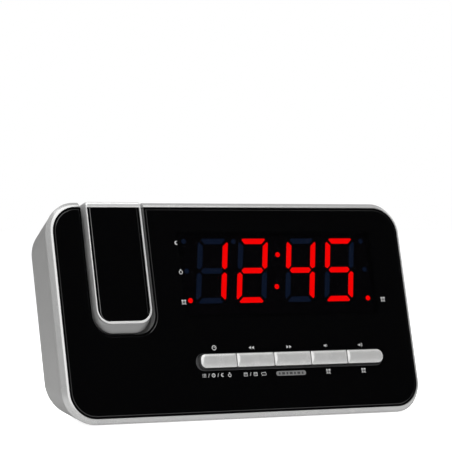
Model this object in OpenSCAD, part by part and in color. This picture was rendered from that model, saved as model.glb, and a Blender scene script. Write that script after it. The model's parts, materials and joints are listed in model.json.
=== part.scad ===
// Projection alarm clock: a leaning cabinet with a black front panel, a red seven-segment display,
// five keys in one row and a projector that swings out of a slot on a hinge near its lens end.
// Frame: X to the right, Y to the back, Z up, origin under the middle of the clock on the table.
// Most pieces are drawn in the face frame: X right, Y into the clock, Z up along the leaning face,
// with its origin at the middle of the front panel's outer face.

/* [Cabinet] */
// Width of the black front panel
panel_w = 182.4; // [165:0.1:220]
// Height of the black front panel, along the face
panel_h = 96.5; // [90:0.1:120]
// Corner radius of the front panel
panel_r = 12.2; // [9:0.1:18]
// Thickness of the front panel
panel_t = 2; // [1.5:0.1:2.4]
// Width of the bevel round the front panel and its slot
panel_bevel = 1.15; // [0.6:0.05:1.6]
// Width of the silver rim outside the panel
rim_w = 2.5; // [1.5:0.1:4]
// Depth of the rim's widest line behind the panel's face
rim_d = 1.85; // [1:0.05:3]
// Lean of the face from upright, in degrees
lean = 13.9; // [8:0.1:18]
// Depth of the cabinet's main housing behind the panel's face
body_d = 28; // [26:0.5:36]
// How much narrower the housing's rear edge is at each side
side_taper = 3.9; // [1:0.1:6]
// How much lower the housing's rear edge is at the top
top_taper = 4; // [1:0.1:6]
// Corner radius of the housing's rear edge
rear_r = 15.3; // [11:0.1:20]
// Wall thickness of the moulded shells
wall = 2.2; // [1.6:0.1:2.6]
// Height of the rim's lowest point above the table
rim_clear = 0.4; // [0.2:0.1:1]
// Height of the cabinet's underside above the table, at the back
under_clear = 2.6; // [2:0.1:4]
// Depth of the seam between the front bezel and the main housing
seam_d = 6.4; // [6:0.1:8]

/* [Back cover] */
// Distance of the upright back wall behind the face frame's origin
back_reach = 41; // [40:0.5:48]
// Half the width of the upright back wall
back_half = 76; // [72:0.5:80]
// Height of the back wall's top edge
back_top = 80; // [74:0.5:84]
// Corner radius of the back wall
back_r = 12; // [8:0.5:16]
// Radius of the speaker grille
grille_r = 16.5; // [14:0.5:18]
// Width of one grille slot
grille_slot = 1.6; // [1:0.1:1.9]
// Distance from one grille slot to the next
grille_pitch = 3.3; // [2.8:0.1:4]

/* [Projector] */
// Distance from the panel's left edge to the slot
slot_margin = 14.55; // [14:0.05:18]
// Width of the slot
slot_w = 32.1; // [31:0.1:36]
// Height of the slot's lower edge above the panel's middle, negative below it
slot_bottom = -10.6; // [-12:0.1:-9]
// Corner radius of the slot's lower end
slot_r = 9.4; // [7:0.1:11]
// Width of the projector
proj_w = 27.9; // [26:0.1:28.5]
// How far the projector stands proud of the panel
proj_proud = 1.85; // [1:0.05:2.5]
// Depth of the projector's rear wall behind the panel's face
proj_back = 18.15; // [17.8:0.05:18.6]
// Gap between the projector's top and the rim's top, along the face
proj_top_gap = 0.25; // [0.1:0.05:0.6]
// Wall thickness of the projector's shells
proj_wall = 1.5; // [1.2:0.1:1.7]
// Width of the bright lip round the projector's front
lip_w = 0.85; // [0.6:0.05:1.1]
// Height of the lip's lower edge above the panel's middle
lip_bottom = -6.1; // [-7:0.1:-5]
// Corner radius of the lip's lower end
lip_r = 6.5; // [5:0.1:8]
// Radius of the hollow hinge pins
pin_r = 3.5; // [3:0.1:3.7]
// Radius of the bore through a hinge pin
pin_bore_r = 1.8; // [1.4:0.1:2]
// Distance of the hinge below the projector's top
pivot_drop = 10.8; // [10.6:0.1:11.6]
// Depth of the hinge behind the panel's face
pivot_d = 9.5; // [9.2:0.1:9.9]
// Radius of the focus wheel
focus_r = 9.4; // [9.1:0.1:9.6]
// Width of the focus wheel's rim
focus_w = 5.2; // [4:0.1:5.4]
// Outer radius of the sliding lens cell
cell_r = 6.9; // [6.6:0.1:7.2]

/* [Display] */
// Height of the digits
digit_h = 30.45; // [26:0.05:32]
// Width of one digit, before its slant
digit_w = 15.66; // [13:0.02:16]
// Width of one segment
seg_w = 2.5; // [2:0.05:3]
// Sideways shift of a digit for each unit of height
slant = 0.167; // [0:0.001:0.25]
// Distance from one digit to the next in a pair
digit_pitch = 21.45; // [19.5:0.05:22.5]
// Extra distance between the two pairs, for the colon
colon_gap = 4.6; // [4:0.1:6]
// Distance from the slot's right edge to the first digit's foot
digit_margin = 22.6; // [20:0.1:24]
// Distance from the panel's top edge to the digits' top
digit_drop = 14.4; // [13:0.1:17]
// Radius of the display's round dots
dot_r = 1.15; // [0.9:0.05:1.5]

/* [Keys] */
// Distance from one key to the next
key_pitch = 19.8; // [18:0.05:21]
// Height of a key, along the face
key_h = 6.7; // [6:0.1:8]
// How far a key stands proud of the panel
key_proud = 2.2; // [1:0.1:3]
// Gap between two keys
key_gap = 0.4; // [0.3:0.05:0.8]
// Height of the key row's middle above the panel's lower edge
key_rise = 23.9; // [22:0.1:26]
// Distance from the slot's right edge to the first key
key_margin = 18.9; // [18:0.1:21]
// How far a key travels when pressed
key_travel = 0.6; // [0.3:0.05:0.7]
// Thickness of the trim round the key row
trim_t = 0.45; // [0.3:0.05:0.6]

/* [Inside] */
// Thickness of the circuit boards
board_t = 1.6; // [1:0.1:2]
// Depth of the main board's front face
board_d = 12; // [11.5:0.1:13]
// Radius of the cabinet's screw posts
post_r = 3.2; // [2.8:0.1:3.4]
// Radius of a screw's shank
screw_r = 1.4; // [1.1:0.1:1.5]
// Radius of the speaker's frame
speaker_r = 19; // [18.5:0.5:21]
// Depth of the speaker
speaker_t = 12; // [10:0.5:14]
// Radius of the backup cell
cell_disc_r = 10; // [8:0.5:10.5]
// Thickness of the backup cell
cell_disc_t = 3.2; // [2:0.1:3.6]

/* [Hidden] */
$fn = 48;

// Clearances: a sliding or moulded fit, a running fit on a shaft, and a loose gap round an insert
fit = 0.1;
running = 0.05;
loose = 0.3;
skin = 0.01;
ring = 0.04;
far = 200;

// Face frame
half_w = panel_w / 2 + rim_w;
half_h = panel_h / 2 + rim_w;
rim_reach = sqrt(pow(rim_w * sin(lean), 2) + pow(rim_d * cos(lean), 2));
front_y = rim_d * cos(lean) - panel_h / 2 * sin(lean) - rim_reach;
face_y = -(front_y + back_reach) / 2;
face_z = rim_clear + half_h * cos(lean) + rim_d * sin(lean);
back_y = face_y + back_reach;
rear_bottom = (under_clear - face_z + body_d * sin(lean)) / cos(lean);
front_wall_t = 2;
front_wall_d = panel_t + front_wall_t;
lip_reach = 2.6;

// Slot and projector
slot_left = -panel_w / 2 + slot_margin;
slot_right = slot_left + slot_w;
slot_mid = (slot_left + slot_right) / 2;
bay_floor = slot_bottom - 0.4;
bay_wall = 1.6;
proj_top = half_h - proj_top_gap;
pivot_v = proj_top - pivot_drop;
swing_r = focus_r + 4;
bay_back_d = proj_back + 2.35;
sill_v = pivot_v - swing_r + 2.8;
side_gap = (slot_w - proj_w) / 2;
proj_half = proj_w / 2;
chin_bottom = bay_floor + 1;
split_d = pivot_d - pin_r - loose;
lens_d = pivot_d + 0.3;
pin_in = 3.8;
pin_out = side_gap + bay_wall + 1.6;
bush_r = pin_r + 1.1;
bush_flange_r = pivot_d - front_wall_d - 0.2;
window_t = 1.4;
window_d = 0.25 - proj_proud;
wheel_top = proj_top - 3.1;
wheel_low = wheel_top - focus_w;
bulkhead_t = 1.5;
cell_low = wheel_low - 4.7;
cell_top = wheel_top - 1;
lens_r = cell_r - 1.2;
lens_low = cell_top - 4;
lens_t = 3;
tube_low = -1.1;
tube_top = cell_low - 3.6;
tube_half_w = 8.3;
tube_front = 2.8;
tube_back = proj_back - proj_wall - fit;
tube_wall = 1.2;
tube_mid_d = (tube_front + tube_back) / 2;

// Display
digit_v = panel_h / 2 - digit_drop - digit_h;
digit_u = slot_right + digit_margin;
block_left = digit_u - 8.6;
block_right = digit_u + 3 * digit_pitch + colon_gap + digit_w + 13.9;
block_low = digit_v - 6;
block_high = digit_v + digit_h + 5;
seg_d = panel_t + 0.05;
seg_t = 0.3;
block_d = seg_d + seg_t;
block_t = 8;
DIGITS = [0, digit_pitch, 2 * digit_pitch + colon_gap, 3 * digit_pitch + colon_gap];
// Segments a to g that glow in each digit, for 12:45
LIT = ["bc", "abged", "fgbc", "afgcd"];

// Keys
key_left = slot_right + key_margin;
key_right = key_left + 5 * key_pitch - key_gap;
key_v = -panel_h / 2 + key_rise;
key_room = 0.25;
key_edge_r = 0.6;
trim_half = key_h / 2 + key_room + trim_t;
trim_left = key_left - key_room - trim_t - 0.7;
trim_right = key_right + key_room + trim_t;
flange_t = 1.1;
flange_d = front_wall_d + fit;
switch_tip_d = flange_d + 3.2;
switch_d = switch_tip_d + 1;
key_board_d = switch_d + 2.5;
stem_d = switch_tip_d - key_travel - 0.1;

// Boards
main_left = block_left - 1;
main_right = block_right + 1.6;
main_high = block_high + 5.4;
key_board_left = key_left - 3.5;
key_board_right = key_right + 3;
key_board_low = key_v - 11.6;
key_board_high = key_v + 11.4;
board_gap = 3.35;
main_low = key_board_high + board_gap;
parts_low = block_low - 7;
board_rear = board_d + board_t;
MAIN_POSTS = [[main_left + 4, main_low + 3], [main_right - 4, main_low + 3],
    [main_left + 4, main_high - 2.8], [main_right - 4, main_high - 2.8]];
KEY_POSTS = [for (x = [key_board_left + 3, key_board_right - 3],
    y = [key_v - trim_half - 4.5, key_v + trim_half + 4.5]) [x, y]];
BAY_LUGS = [[slot_mid - 9, bay_floor - bay_wall - 4], [slot_mid + 9, bay_floor - bay_wall - 4]];
lug_d = front_wall_d + 4;
lug_t = 2.4;
boss_r = 2.2;

// Cover screws, from the back through the cover into posts on the bezel
post_end = body_d - 2.5;
seat_d = post_end + 2.1;
head_t = 1.6;
head_r = 2.8;
left_post = -(half_w - side_taper + slot_left * -1) / 2 + 0.4;
right_post = half_w - side_taper - 7.8;
COVER_POSTS = [[left_post, 24], [left_post, rear_bottom + 14], [block_left - 6.2, sill_v],
    [slot_right + 8, rear_bottom + 10], [right_post, 30], [right_post, rear_bottom + 14]];

// Back wall fittings, in the room frame
back_in = back_y - wall;
speaker_x = 4;
speaker_z = 42;
CLAMPS = [45, 225];
jack_x = main_left - 6.45;
jack_z = 22;
jack_r = 4;
jack_t = 9;
jack_y = back_y - 0.3;
jack_end = jack_y - wall + 0.2 - jack_t;
grommet_x = slot_mid - 1.4;
grommet_z = 22;
door_w = 29;
door_h = 27;
door_t = 1.5;
door_left = back_half - door_w - 0.5;
door_low = 26;
door_mid_z = door_low + door_h / 2;
tray_half = cell_disc_r + 1.9;
tray_t = cell_disc_t + 3;
tray_x = door_left + door_w / 2 - 0.5;
foot_r = 5.5;
foot_x = 60;
FEET = [for (x = [-foot_x, foot_x]) each [[x, face_y + 2, 1.6], [x, back_y - 10, under_clear]]];
foot_sink = 0.7;

// Sockets on the main board, from its parts' lower corner, and the leads' routes, in the room frame
lead_r = 0.9;
plug_w = 6;
plug_t = 6.4;
PLUGS = [[1.5, 39.6], [17.5, 3.6], [8.5, 2.6]];
PROJECTOR_ROUTE = concat(
    [for (p = [[-1.4, 0, 0], [3.5, 0, 0], [6.5, 0.5, -0.1], [8.8, 2.5, -0.5], [9.7, 5, -1.6]])
        room_at(slot_right + p[0], pivot_v + p[2], pivot_d + p[1])],
    [for (x = [-2.8, -2, -1, -0.02]) plug_point(0, x)]);
SPEAKER_ROUTE = concat([for (y = [0.02, 1.5, 3]) [speaker_x, back_in - speaker_t - y, speaker_z]],
    [[speaker_x - 2.2, 6, 42.3], [speaker_x - 5.6, 3, 42.8]], [for (x = [3.4, 1.7, 0.02]) plug_point(1, plug_w + x)]);
POWER_ROUTE = concat([for (y = [0.02, 1.6, 3.2]) [jack_x, jack_end - y, jack_z]],
    [for (p = [[0.4, 8, 24.6], [2.5, 3.4, 30.5], [6.5, 1, 38]]) [jack_x + p[0], p[1], p[2]]],
    [for (x = [-3.6, -1.8, -0.02]) plug_point(2, x)]);

function blend(a, b, t) = a + (b - a) * t;
function taper(d) = (d - rim_d) / (body_d - rim_d);
function body_half(d) = blend(half_w, half_w - side_taper, taper(d));
function body_top(d) = blend(half_h, half_h - top_taper, taper(d));
function body_low(d) = blend(-half_h, rear_bottom, taper(d));
function body_r(d) = blend(panel_r + rim_w, rear_r, taper(d));
// A point of the face frame in the room frame
function room_at(u, v, d) =
    [u, face_y + v * sin(lean) + d * cos(lean), face_z + v * cos(lean) - d * sin(lean)];
// A point at distance x from the left side of socket k, at the middle of its height and depth
function plug_point(k, x) = room_at(main_left + PLUGS[k][0] + x, parts_low + PLUGS[k][1] + plug_w / 2,
    board_rear + plug_t / 2);

// Puts children, drawn in the face frame, into the room frame
module on_face() {
    translate([0, face_y, face_z]) rotate([-lean, 0, 0]) children();
}

// Puts children, drawn in the room frame, into the face frame
module in_room() {
    rotate([lean, 0, 0]) translate([0, -face_y, -face_z]) children();
}

// Extrudes a flat shape of the face from depth d0 to depth d1
module plate(d0, d1) {
    translate([0, d1, 0]) rotate([90, 0, 0]) linear_extrude(d1 - d0) children();
}

// A round bar along the depth at [u, v]
module bar(at, r, d0, d1) {
    translate([at[0], d0, at[1]]) rotate([-90, 0, 0]) cylinder(r = r, h = d1 - d0);
}

// A round bar along the face's upward direction, at x and depth d
module upright(x, d, r, v0, v1) {
    translate([x, d, v0]) cylinder(r = r, h = v1 - v0);
}

// A rectangle with round corners: r at the top and rb at the bottom
module round_rect(x0, x1, y0, y1, r, rb) {
    translate([x0 + rb, y0]) square([x1 - x0 - 2 * rb, rb]);
    translate([x0, y0 + rb]) square([x1 - x0, y1 - r - y0 - rb]);
    translate([x0 + r, y1 - r - skin]) square([x1 - x0 - 2 * r, r + skin]);
    for (x = [x0 + rb, x1 - rb]) translate([x, y0 + rb]) circle(rb);
    for (x = [x0 + r, x1 - r]) translate([x, y1 - r]) circle(r);
}

// The four corners of such a rectangle as thin discs, to be hulled
module corners(d, x0, x1, y0, y1, r, rb) {
    plate(d, d + ring) {
        for (x = [x0 + rb, x1 - rb]) translate([x, y0 + rb]) circle(rb);
        for (x = [x0 + r, x1 - r]) translate([x, y1 - r]) circle(r);
    }
}

// The housing's outline at depth d, inset from its outer face, drawn as corners
module body_corners(d, inset) {
    corners(d, inset - body_half(d), body_half(d) - inset, body_low(d) + inset, body_top(d) - inset,
        body_r(d) - inset, body_r(d) - inset);
}

// The same outline as a flat shape
module body_outline(d, inset) {
    round_rect(inset - body_half(d), body_half(d) - inset, body_low(d) + inset, body_top(d) - inset,
        body_r(d) - inset, body_r(d) - inset);
}

// The tapered housing, from the rim's widest line to its rear edge
module body_form(inset) {
    hull() {
        body_corners(rim_d, inset);
        body_corners(body_d - ring, inset);
    }
}

// The wedge behind the housing, in the room frame, down to the upright back wall
module back_form(inset) {
    hull() {
        on_face() body_corners(body_d, inset);
        translate([0, back_y - inset, 0]) rotate([90, 0, 0]) linear_extrude(ring)
            for (x = [-1, 1], z = [under_clear + back_r, back_top - back_r])
                translate([x * (back_half - back_r), z]) circle(back_r - inset);
    }
}

// The black panel's outline, grown by g
module panel_outline(g) {
    round_rect(-panel_w / 2 - g, panel_w / 2 + g, -panel_h / 2 - g, panel_h / 2 + g, panel_r + g,
        panel_r + g);
}

// The slot's outline: a U that runs out over the top
module slot_outline(low, grow) {
    round_rect(slot_left - grow, slot_right + grow, low - grow, half_h + far, slot_r, slot_r + grow);
}

// All that the slot takes out of the cabinet: the bay in front and the open way over its sill
module slot_space(grow) {
    plate(-far, bay_back_d + grow) slot_outline(bay_floor, grow);
    translate([slot_left - grow, 0, sill_v - grow]) cube([slot_w + 2 * grow, far, far]);
}

// The key row's outline, grown by g
module key_row_outline(g) {
    round_rect(trim_left - g, trim_right + g, key_v - trim_half - g, key_v + trim_half + g,
        trim_half + g - skin, trim_half + g - skin);
}

// The cabinet's front half: the silver rim, the wall behind the panel, and the screw posts
module front_bezel() {
    rim_steps = 6;
    color("silver") on_face() difference() {
        union() {
            difference() {
                hull() {
                    for (i = [0:rim_steps]) {
                        o = rim_w * sin(90 * i / rim_steps);
                        corners(rim_d * (1 - cos(90 * i / rim_steps)), -panel_w / 2 - o, panel_w / 2 + o,
                            -panel_h / 2 - o, panel_h / 2 + o, panel_r + o, panel_r + o);
                    }
                    body_corners(seam_d - ring, 0);
                }
                plate(-far, panel_t + skin) panel_outline(fit);
                plate(front_wall_d, far) body_outline(seam_d, wall);
            }
            // A tongue that centres the main housing
            plate(front_wall_d, seam_d + lip_reach) difference() {
                body_outline(seam_d + lip_reach, wall + fit);
                body_outline(seam_d + lip_reach, wall + fit + 1);
            }
            for (p = COVER_POSTS) bar(p, post_r, front_wall_d - skin, post_end);
            for (p = MAIN_POSTS) bar(p, boss_r, front_wall_d - skin, board_d);
            for (p = KEY_POSTS) bar(p, boss_r, front_wall_d - skin, key_board_d);
            for (p = BAY_LUGS) bar(p, boss_r, front_wall_d - skin, lug_d);
        }
        slot_space(0);
        plate(0, front_wall_d + 1)
            translate([block_left - fit, block_low - fit])
                square([block_right - block_left + 2 * fit, block_high - block_low + 2 * fit]);
        plate(0, front_wall_d + skin) key_row_outline(fit);
        // The tongue stops clear of the bay's walls
        translate([slot_left - bay_wall - fit, front_wall_d, half_h - 8])
            cube([slot_w + 2 * bay_wall + 2 * fit, far, 20]);
        for (p = COVER_POSTS) bar(p, screw_r - 0.15, post_end - 11, far);
        for (p = concat(MAIN_POSTS, KEY_POSTS, BAY_LUGS)) bar(p, screw_r - 0.35, front_wall_d + 1, far);
    }
}

// The cabinet's middle: a tapered ring with the slot through its top
module main_housing() {
    color("silver") difference() {
        on_face() difference() {
            body_form(0);
            body_form(wall);
            plate(-far, seam_d) square(2 * far, center = true);
            plate(body_d - skin, far) body_outline(body_d, wall);
            slot_space(0);
        }
        for (p = FEET) translate([p[0], p[1], -1]) cylinder(r = foot_r + fit, h = 1 + p[2] + foot_sink);
    }
}

// The back: a wedge with an upright wall that carries the speaker, the jack and the battery door
module back_cover() {
    color("gainsboro") difference() {
        union() {
            difference() {
                back_form(0);
                back_form(wall);
            }
            // A tongue that centres the cover in the housing
            intersection() {
                on_face() plate(body_d - lip_reach, body_d + 2) difference() {
                    body_outline(body_d, wall + fit);
                    body_outline(body_d, wall + fit + 1.1);
                    // Room for the bay's walls
                    translate([slot_left - bay_wall - fit, half_h - 14])
                        square([slot_w + 2 * bay_wall + 2 * fit, 30]);
                }
                union() {
                    back_form(wall / 2);
                    on_face() plate(0, body_d) square(2 * far, center = true);
                }
            }
            on_face() for (p = COVER_POSTS) bar(p, post_r + 1.2, post_end + skin, body_d + 1);
            intersection() {
                on_face() for (p = COVER_POSTS) bar(p, post_r + 1.2, body_d + 0.5, far);
                back_form(wall / 2);
            }
            // Ring that seats the speaker, and the bosses of its two clamps
            on_speaker() translate([0, 0, -wall / 2]) difference() {
                cylinder(r = speaker_r + 1.6, h = 2 + wall / 2);
                translate([0, 0, wall / 2 - skin]) cylinder(r = speaker_r + fit, h = 3);
            }
            for (a = CLAMPS) speaker_at(a) translate([0, 0, -wall / 2]) cylinder(r = 2.6, h = 3 + wall / 2);
        }
        on_face() {
            slot_space(0);
            for (p = COVER_POSTS) {
                bar(p, screw_r + 0.3, 0, far);
                bar(p, head_r + loose, seat_d, far);
            }
        }
        // Grille slots over the speaker
        on_speaker() translate([0, 0, -wall - 1]) linear_extrude(wall + 2) for (k = [-4:4]) {
            reach = sqrt(pow(grille_r, 2) - pow(k * grille_pitch, 2));
            translate([-reach, k * grille_pitch - grille_slot / 2]) square([2 * reach, grille_slot]);
        }
        for (a = CLAMPS) speaker_at(a) translate([0, 0, -1]) cylinder(r = screw_r - 0.35, h = 9);
        translate([jack_x, 0, jack_z]) rotate([-90, 0, 0]) cylinder(r = jack_r + fit, h = far);
        translate([jack_x, back_y - 1, jack_z]) rotate([-90, 0, 0]) cylinder(r = jack_r + 2.6, h = far);
        translate([grommet_x, 0, grommet_z]) rotate([-90, 0, 0]) cylinder(r = 2.6, h = far);
        // Recess, grooves and opening of the battery door
        translate([door_left - fit, back_y - door_t - fit, door_low - fit])
            cube([far, far, door_h + 2 * fit]);
        translate([door_left - fit, back_y - door_t - fit, door_low - 1 - fit])
            cube([far, 0.8 + 2 * fit, door_h + 2 + 2 * fit]);
        translate([tray_x - tray_half + 1, 0, door_mid_z - tray_half + 1])
            cube([2 * tray_half - 2, far, 2 * tray_half - 2]);
        for (p = FEET) translate([p[0], p[1], -1]) cylinder(r = foot_r + fit, h = 1 + p[2] + foot_sink);
    }
}

// Places children at a speaker clamp's screw, at angle a round the speaker
module speaker_at(a) {
    on_speaker() rotate([0, 0, a]) translate([speaker_r + 4.6, 0, 0]) children();
}

// The black panel, with bevelled edges, the slot and the key row's opening
module front_panel() {
    bevel_d = 0.45;
    color([0.02, 0.02, 0.025]) on_face() difference() {
        union() {
            hull() {
                corners(0, panel_bevel - panel_w / 2, panel_w / 2 - panel_bevel, panel_bevel - panel_h / 2,
                    panel_h / 2 - panel_bevel, panel_r - panel_bevel, panel_r - panel_bevel);
                corners(bevel_d, -panel_w / 2, panel_w / 2, -panel_h / 2, panel_h / 2, panel_r, panel_r);
            }
            plate(bevel_d, panel_t) panel_outline(0);
        }
        hull() {
            corners(-skin, slot_left - panel_bevel, slot_right + panel_bevel, slot_bottom - panel_bevel,
                far, slot_r, slot_r + panel_bevel);
            corners(bevel_d - skin, slot_left, slot_right, slot_bottom, far, slot_r, slot_r);
        }
        plate(-1, panel_t + 1) slot_outline(slot_bottom, 0);
        plate(-1, panel_t + 1) key_row_outline(fit);
    }
}

// The silver channel that the projector lies in, with its sill over the back and its screw lugs
module projector_bay() {
    color("darkgray") on_face() difference() {
        union() {
            intersection() {
                union() {
                    plate(front_wall_d + running, bay_back_d + bay_wall) slot_outline(bay_floor, bay_wall);
                    translate([slot_left - bay_wall, front_wall_d + running, sill_v - bay_wall])
                        cube([slot_w + 2 * bay_wall, far, far]);
                }
                union() {
                    body_form(wall + fit);
                    in_room() back_form(wall + fit);
                }
            }
            for (p = BAY_LUGS) bar(p, boss_r + 1.6, lug_d + running, lug_d + lug_t);
            translate([slot_mid - 9, lug_d + running, bay_floor - bay_wall - 4])
                cube([18, lug_t - running, 4 + bay_wall / 2]);
        }
        slot_space(0);
        for (x = [slot_left, slot_right]) translate([x, pivot_d, pivot_v]) rotate([0, 90, 0])
            cylinder(r = bush_r, h = 2 * bay_wall + 1, center = true);
        for (p = BAY_LUGS) bar(p, screw_r + 0.2, 0, far);
    }
}

// Bushes that carry the hinge pins in the bay's walls
module hinge_bushes() {
    color("white") on_face() for (s = [-1, 1])
        translate([slot_mid + s * slot_w / 2, pivot_d, pivot_v]) rotate([0, s * 90, 0]) difference() {
            union() {
                cylinder(r = bush_r - 0.02, h = bay_wall + 0.1);
                translate([0, 0, bay_wall + 0.02]) cylinder(r = bush_flange_r, h = 1.1);
            }
            translate([0, 0, -1]) cylinder(r = pin_r + running, h = bay_wall + 4);
        }
}

// Liner of the key row's opening
module key_trim() {
    color("dimgray") on_face() difference() {
        plate(0.25, front_wall_d) key_row_outline(0);
        plate(-1, front_wall_d + 1) key_row_outline(-trim_t);
    }
}

// The display's body, with its face in the bezel's window
module display_block() {
    color([0.08, 0.08, 0.09]) on_face() difference() {
        plate(block_d, block_d + block_t)
            translate([block_left, block_low]) square([block_right - block_left, block_high - block_low]);
        plate(block_d + 1.5, board_d) for (p = MAIN_POSTS) translate(p) circle(boss_r + loose);
    }
}

// Outlines of the seven segments in an upright digit
function seg_shape(s) =
    let (w = digit_w, h = digit_h, t = seg_w, m = digit_h / 2)
    s == "a" ? [[2.1, h], [w - 2.1, h], [w - 1.6, h - 0.6], [w - t - 0.9, h - t], [t + 0.9, h - t],
        [1.6, h - 0.6]] :
    s == "d" ? [for (p = seg_shape("a")) [p[0], h - p[1]]] :
    s == "g" ? [[t / 2 + 0.9, m], [t + 0.7, m + t / 2], [w - t - 0.7, m + t / 2], [w - t / 2 - 0.9, m],
        [w - t - 0.7, m - t / 2], [t + 0.7, m - t / 2]] :
    s == "b" ? [[w - 0.5, h - 1.7], [w, h - 2.3], [w, m + 1.6], [w - t / 2, m + 0.8],
        [w - t, m + t / 2 + 0.8], [w - t, h - t - 1]] :
    s == "c" ? [for (p = seg_shape("b")) [p[0], h - p[1]]] :
    s == "f" ? [for (p = seg_shape("b")) [w - p[0], p[1]]] :
    [for (p = seg_shape("b")) [w - p[0], h - p[1]]];

// One segment of the digit whose foot is at u, slanted
module segment(u, s) {
    polygon([for (p = seg_shape(s)) [u + p[0] + slant * p[1], digit_v + p[1]]]);
}

// Dots, each by its distance from the first digit's foot and above the digits' foot
LIT_DOTS = [[46.45, 22.75], [43.9, 7.45], [-2.7, 1.45], [93.35, 1.25]];
DARK_DOTS = [[-2.7, 29.3], [-2.8, 15.25], [23.5, 29.1], [93.35, 29.05], [93.55, 15.25]];

module dots(list) {
    for (p = list) translate([digit_u + p[0], digit_v + p[1]]) circle(dot_r, $fn = 24);
}

module lit_segments() {
    color("red") on_face() plate(seg_d, seg_d + seg_t) {
        for (k = [0:3], s = LIT[k]) segment(digit_u + DIGITS[k], s);
        dots(LIT_DOTS);
    }
}

module dark_segments() {
    color([0.05, 0.08, 0.16]) on_face() plate(seg_d, seg_d + seg_t) {
        for (k = [0:3], s = "abcdefg") if (len(search(s, LIT[k])) == 0) segment(digit_u + DIGITS[k], s);
        dots(DARK_DOTS);
    }
}

// Two rows of pins that join the display to the main board
module display_pins() {
    color("gold") on_face() for (k = [0:9], v = [block_low + 5, block_high - 5])
        translate([block_left + 12 + k * (block_right - block_left - 24) / 9 - 0.32, block_d + block_t,
            v - 0.32]) cube([0.64, board_rear + 1 - block_d - block_t, 0.64]);
}

module main_board() {
    color("darkgreen") on_face() difference() {
        plate(board_d, board_rear)
            translate([main_left, main_low]) square([main_right - main_left, main_high - main_low]);
        for (p = MAIN_POSTS) bar(p, screw_r + 0.1, 0, far);
        for (k = [0:9], v = [block_low + 5, block_high - 5])
            translate([block_left + 12 + k * (block_right - block_left - 24) / 9 - 0.37, 0, v - 0.37])
                cube([0.74, far, 0.74]);
    }
}

// A box on the main board's rear face, by its lower corner from the parts' lower corner
module on_board(x, v, size) {
    translate([main_left + x, board_rear, parts_low + v]) cube([size[0], size[2], size[1]]);
}

module clock_chip() {
    color([0.1, 0.1, 0.1]) on_face() {
        on_board(44, 20, [22, 14, 2.2]);
        for (k = [0:9], v = [18.6, 34]) on_board(45 + k * 2.1, v, [0.8, 1.4, 0.8]);
    }
}

module small_chips() {
    color([0.12, 0.12, 0.12]) on_face() {
        on_board(76, 24, [9, 6, 1.8]);
        on_board(14, 22, [8, 8, 1.6]);
        on_board(86, 15, [6, 10, 1.8]);
    }
}

module crystal() {
    color("silver") on_face() translate([main_left + 72, board_rear + 1.6, parts_low + 16]) rotate([0, 90, 0])
        cylinder(r = 1.6, h = 8);
}

module capacitors() {
    color("navy") on_face() for (c = [[28, 28, 3.2, 7], [34, 19, 2.6, 6], [98, 36, 3.2, 7], [98, 18, 2.6, 6]])
        bar([main_left + c[0], parts_low + c[1]], c[2], board_rear, board_rear + c[3]);
}

// Sockets for the projector's, the speaker's and the jack's leads
module board_connectors() {
    color("ivory") on_face() for (p = PLUGS) on_board(p[0], p[1], [plug_w, plug_w, plug_t]);
}

module key_board() {
    color("darkgreen") on_face() difference() {
        plate(key_board_d, key_board_d + board_t) translate([key_board_left, key_board_low])
            square([key_board_right - key_board_left, key_board_high - key_board_low]);
        for (p = KEY_POSTS) bar(p, screw_r + 0.1, 0, far);
    }
}

// Five switches, each with its round plunger towards the key
module tact_switches() {
    color("dimgray") on_face() for (k = [0:4]) {
        u = key_left + (k + 0.5) * key_pitch - key_gap / 2;
        translate([u - 3, switch_d, key_v - 3]) cube([6, key_board_d - switch_d, 6]);
        bar([u, key_v], 1.7, switch_tip_d, switch_d);
    }
}

// Flat cable from the key board to the main board
module key_ribbon() {
    ribbon_w = 12;
    ribbon_t = 0.5;
    u = (key_left + key_right) / 2 - ribbon_w / 2;
    rear = max(board_rear, key_board_d + board_t);
    color("lightgray") on_face() {
        translate([u, key_board_d + board_t, key_board_high - 4])
            cube([ribbon_w, rear + 2 - key_board_d - board_t, ribbon_t]);
        translate([u, rear + 2 - ribbon_t, key_board_high - 4])
            cube([ribbon_w, ribbon_t, main_low - key_board_high + 8]);
        translate([u, board_rear, main_low + 4 - ribbon_t]) cube([ribbon_w, rear + 2 - board_rear, ribbon_t]);
    }
}

// A pan-head screw at a point of the face, its head's underside at depth d, pointing to the front
module screw(p, d, reach) {
    bar(p, screw_r - 0.4, d - reach, d);
    bar(p, screw_r + 1, d, d + 1.2);
}

module inner_screws() {
    color("silver") on_face() {
        for (p = MAIN_POSTS) screw(p, board_rear, 6);
        for (p = KEY_POSTS) screw(p, key_board_d + board_t, 5);
        for (p = BAY_LUGS) screw(p, lug_d + lug_t, 5);
    }
}

module cover_screws() {
    color("silver") on_face() for (p = COVER_POSTS) difference() {
        union() {
            bar(p, screw_r - 0.2, post_end - 8, seat_d);
            bar(p, head_r, seat_d, seat_d + head_t);
        }
        translate([p[0], seat_d + head_t, p[1]]) for (a = [0, 90]) rotate([0, a, 0])
            cube([0.8, 1.6, 3.4], center = true);
    }
}

// Places children on the speaker's axis, with +Z from the back wall into the clock
module on_speaker() {
    translate([speaker_x, back_in, speaker_z]) rotate([90, 0, 0]) children();
}

module speaker_basket() {
    color("dimgray") on_speaker() difference() {
        union() {
            cylinder(r = speaker_r, h = 1.2);
            cylinder(r1 = speaker_r - 2, r2 = speaker_r - 8, h = speaker_t - 4);
        }
        translate([0, 0, -1]) cylinder(r = speaker_r - 2.6, h = 2.2);
        translate([0, 0, 1.2 - skin]) cylinder(r1 = speaker_r - 3.2, r2 = speaker_r - 9, h = speaker_t - 6.2);
        translate([0, 0, -1]) cylinder(r = speaker_r - 9.8, h = speaker_t);
    }
}

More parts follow.
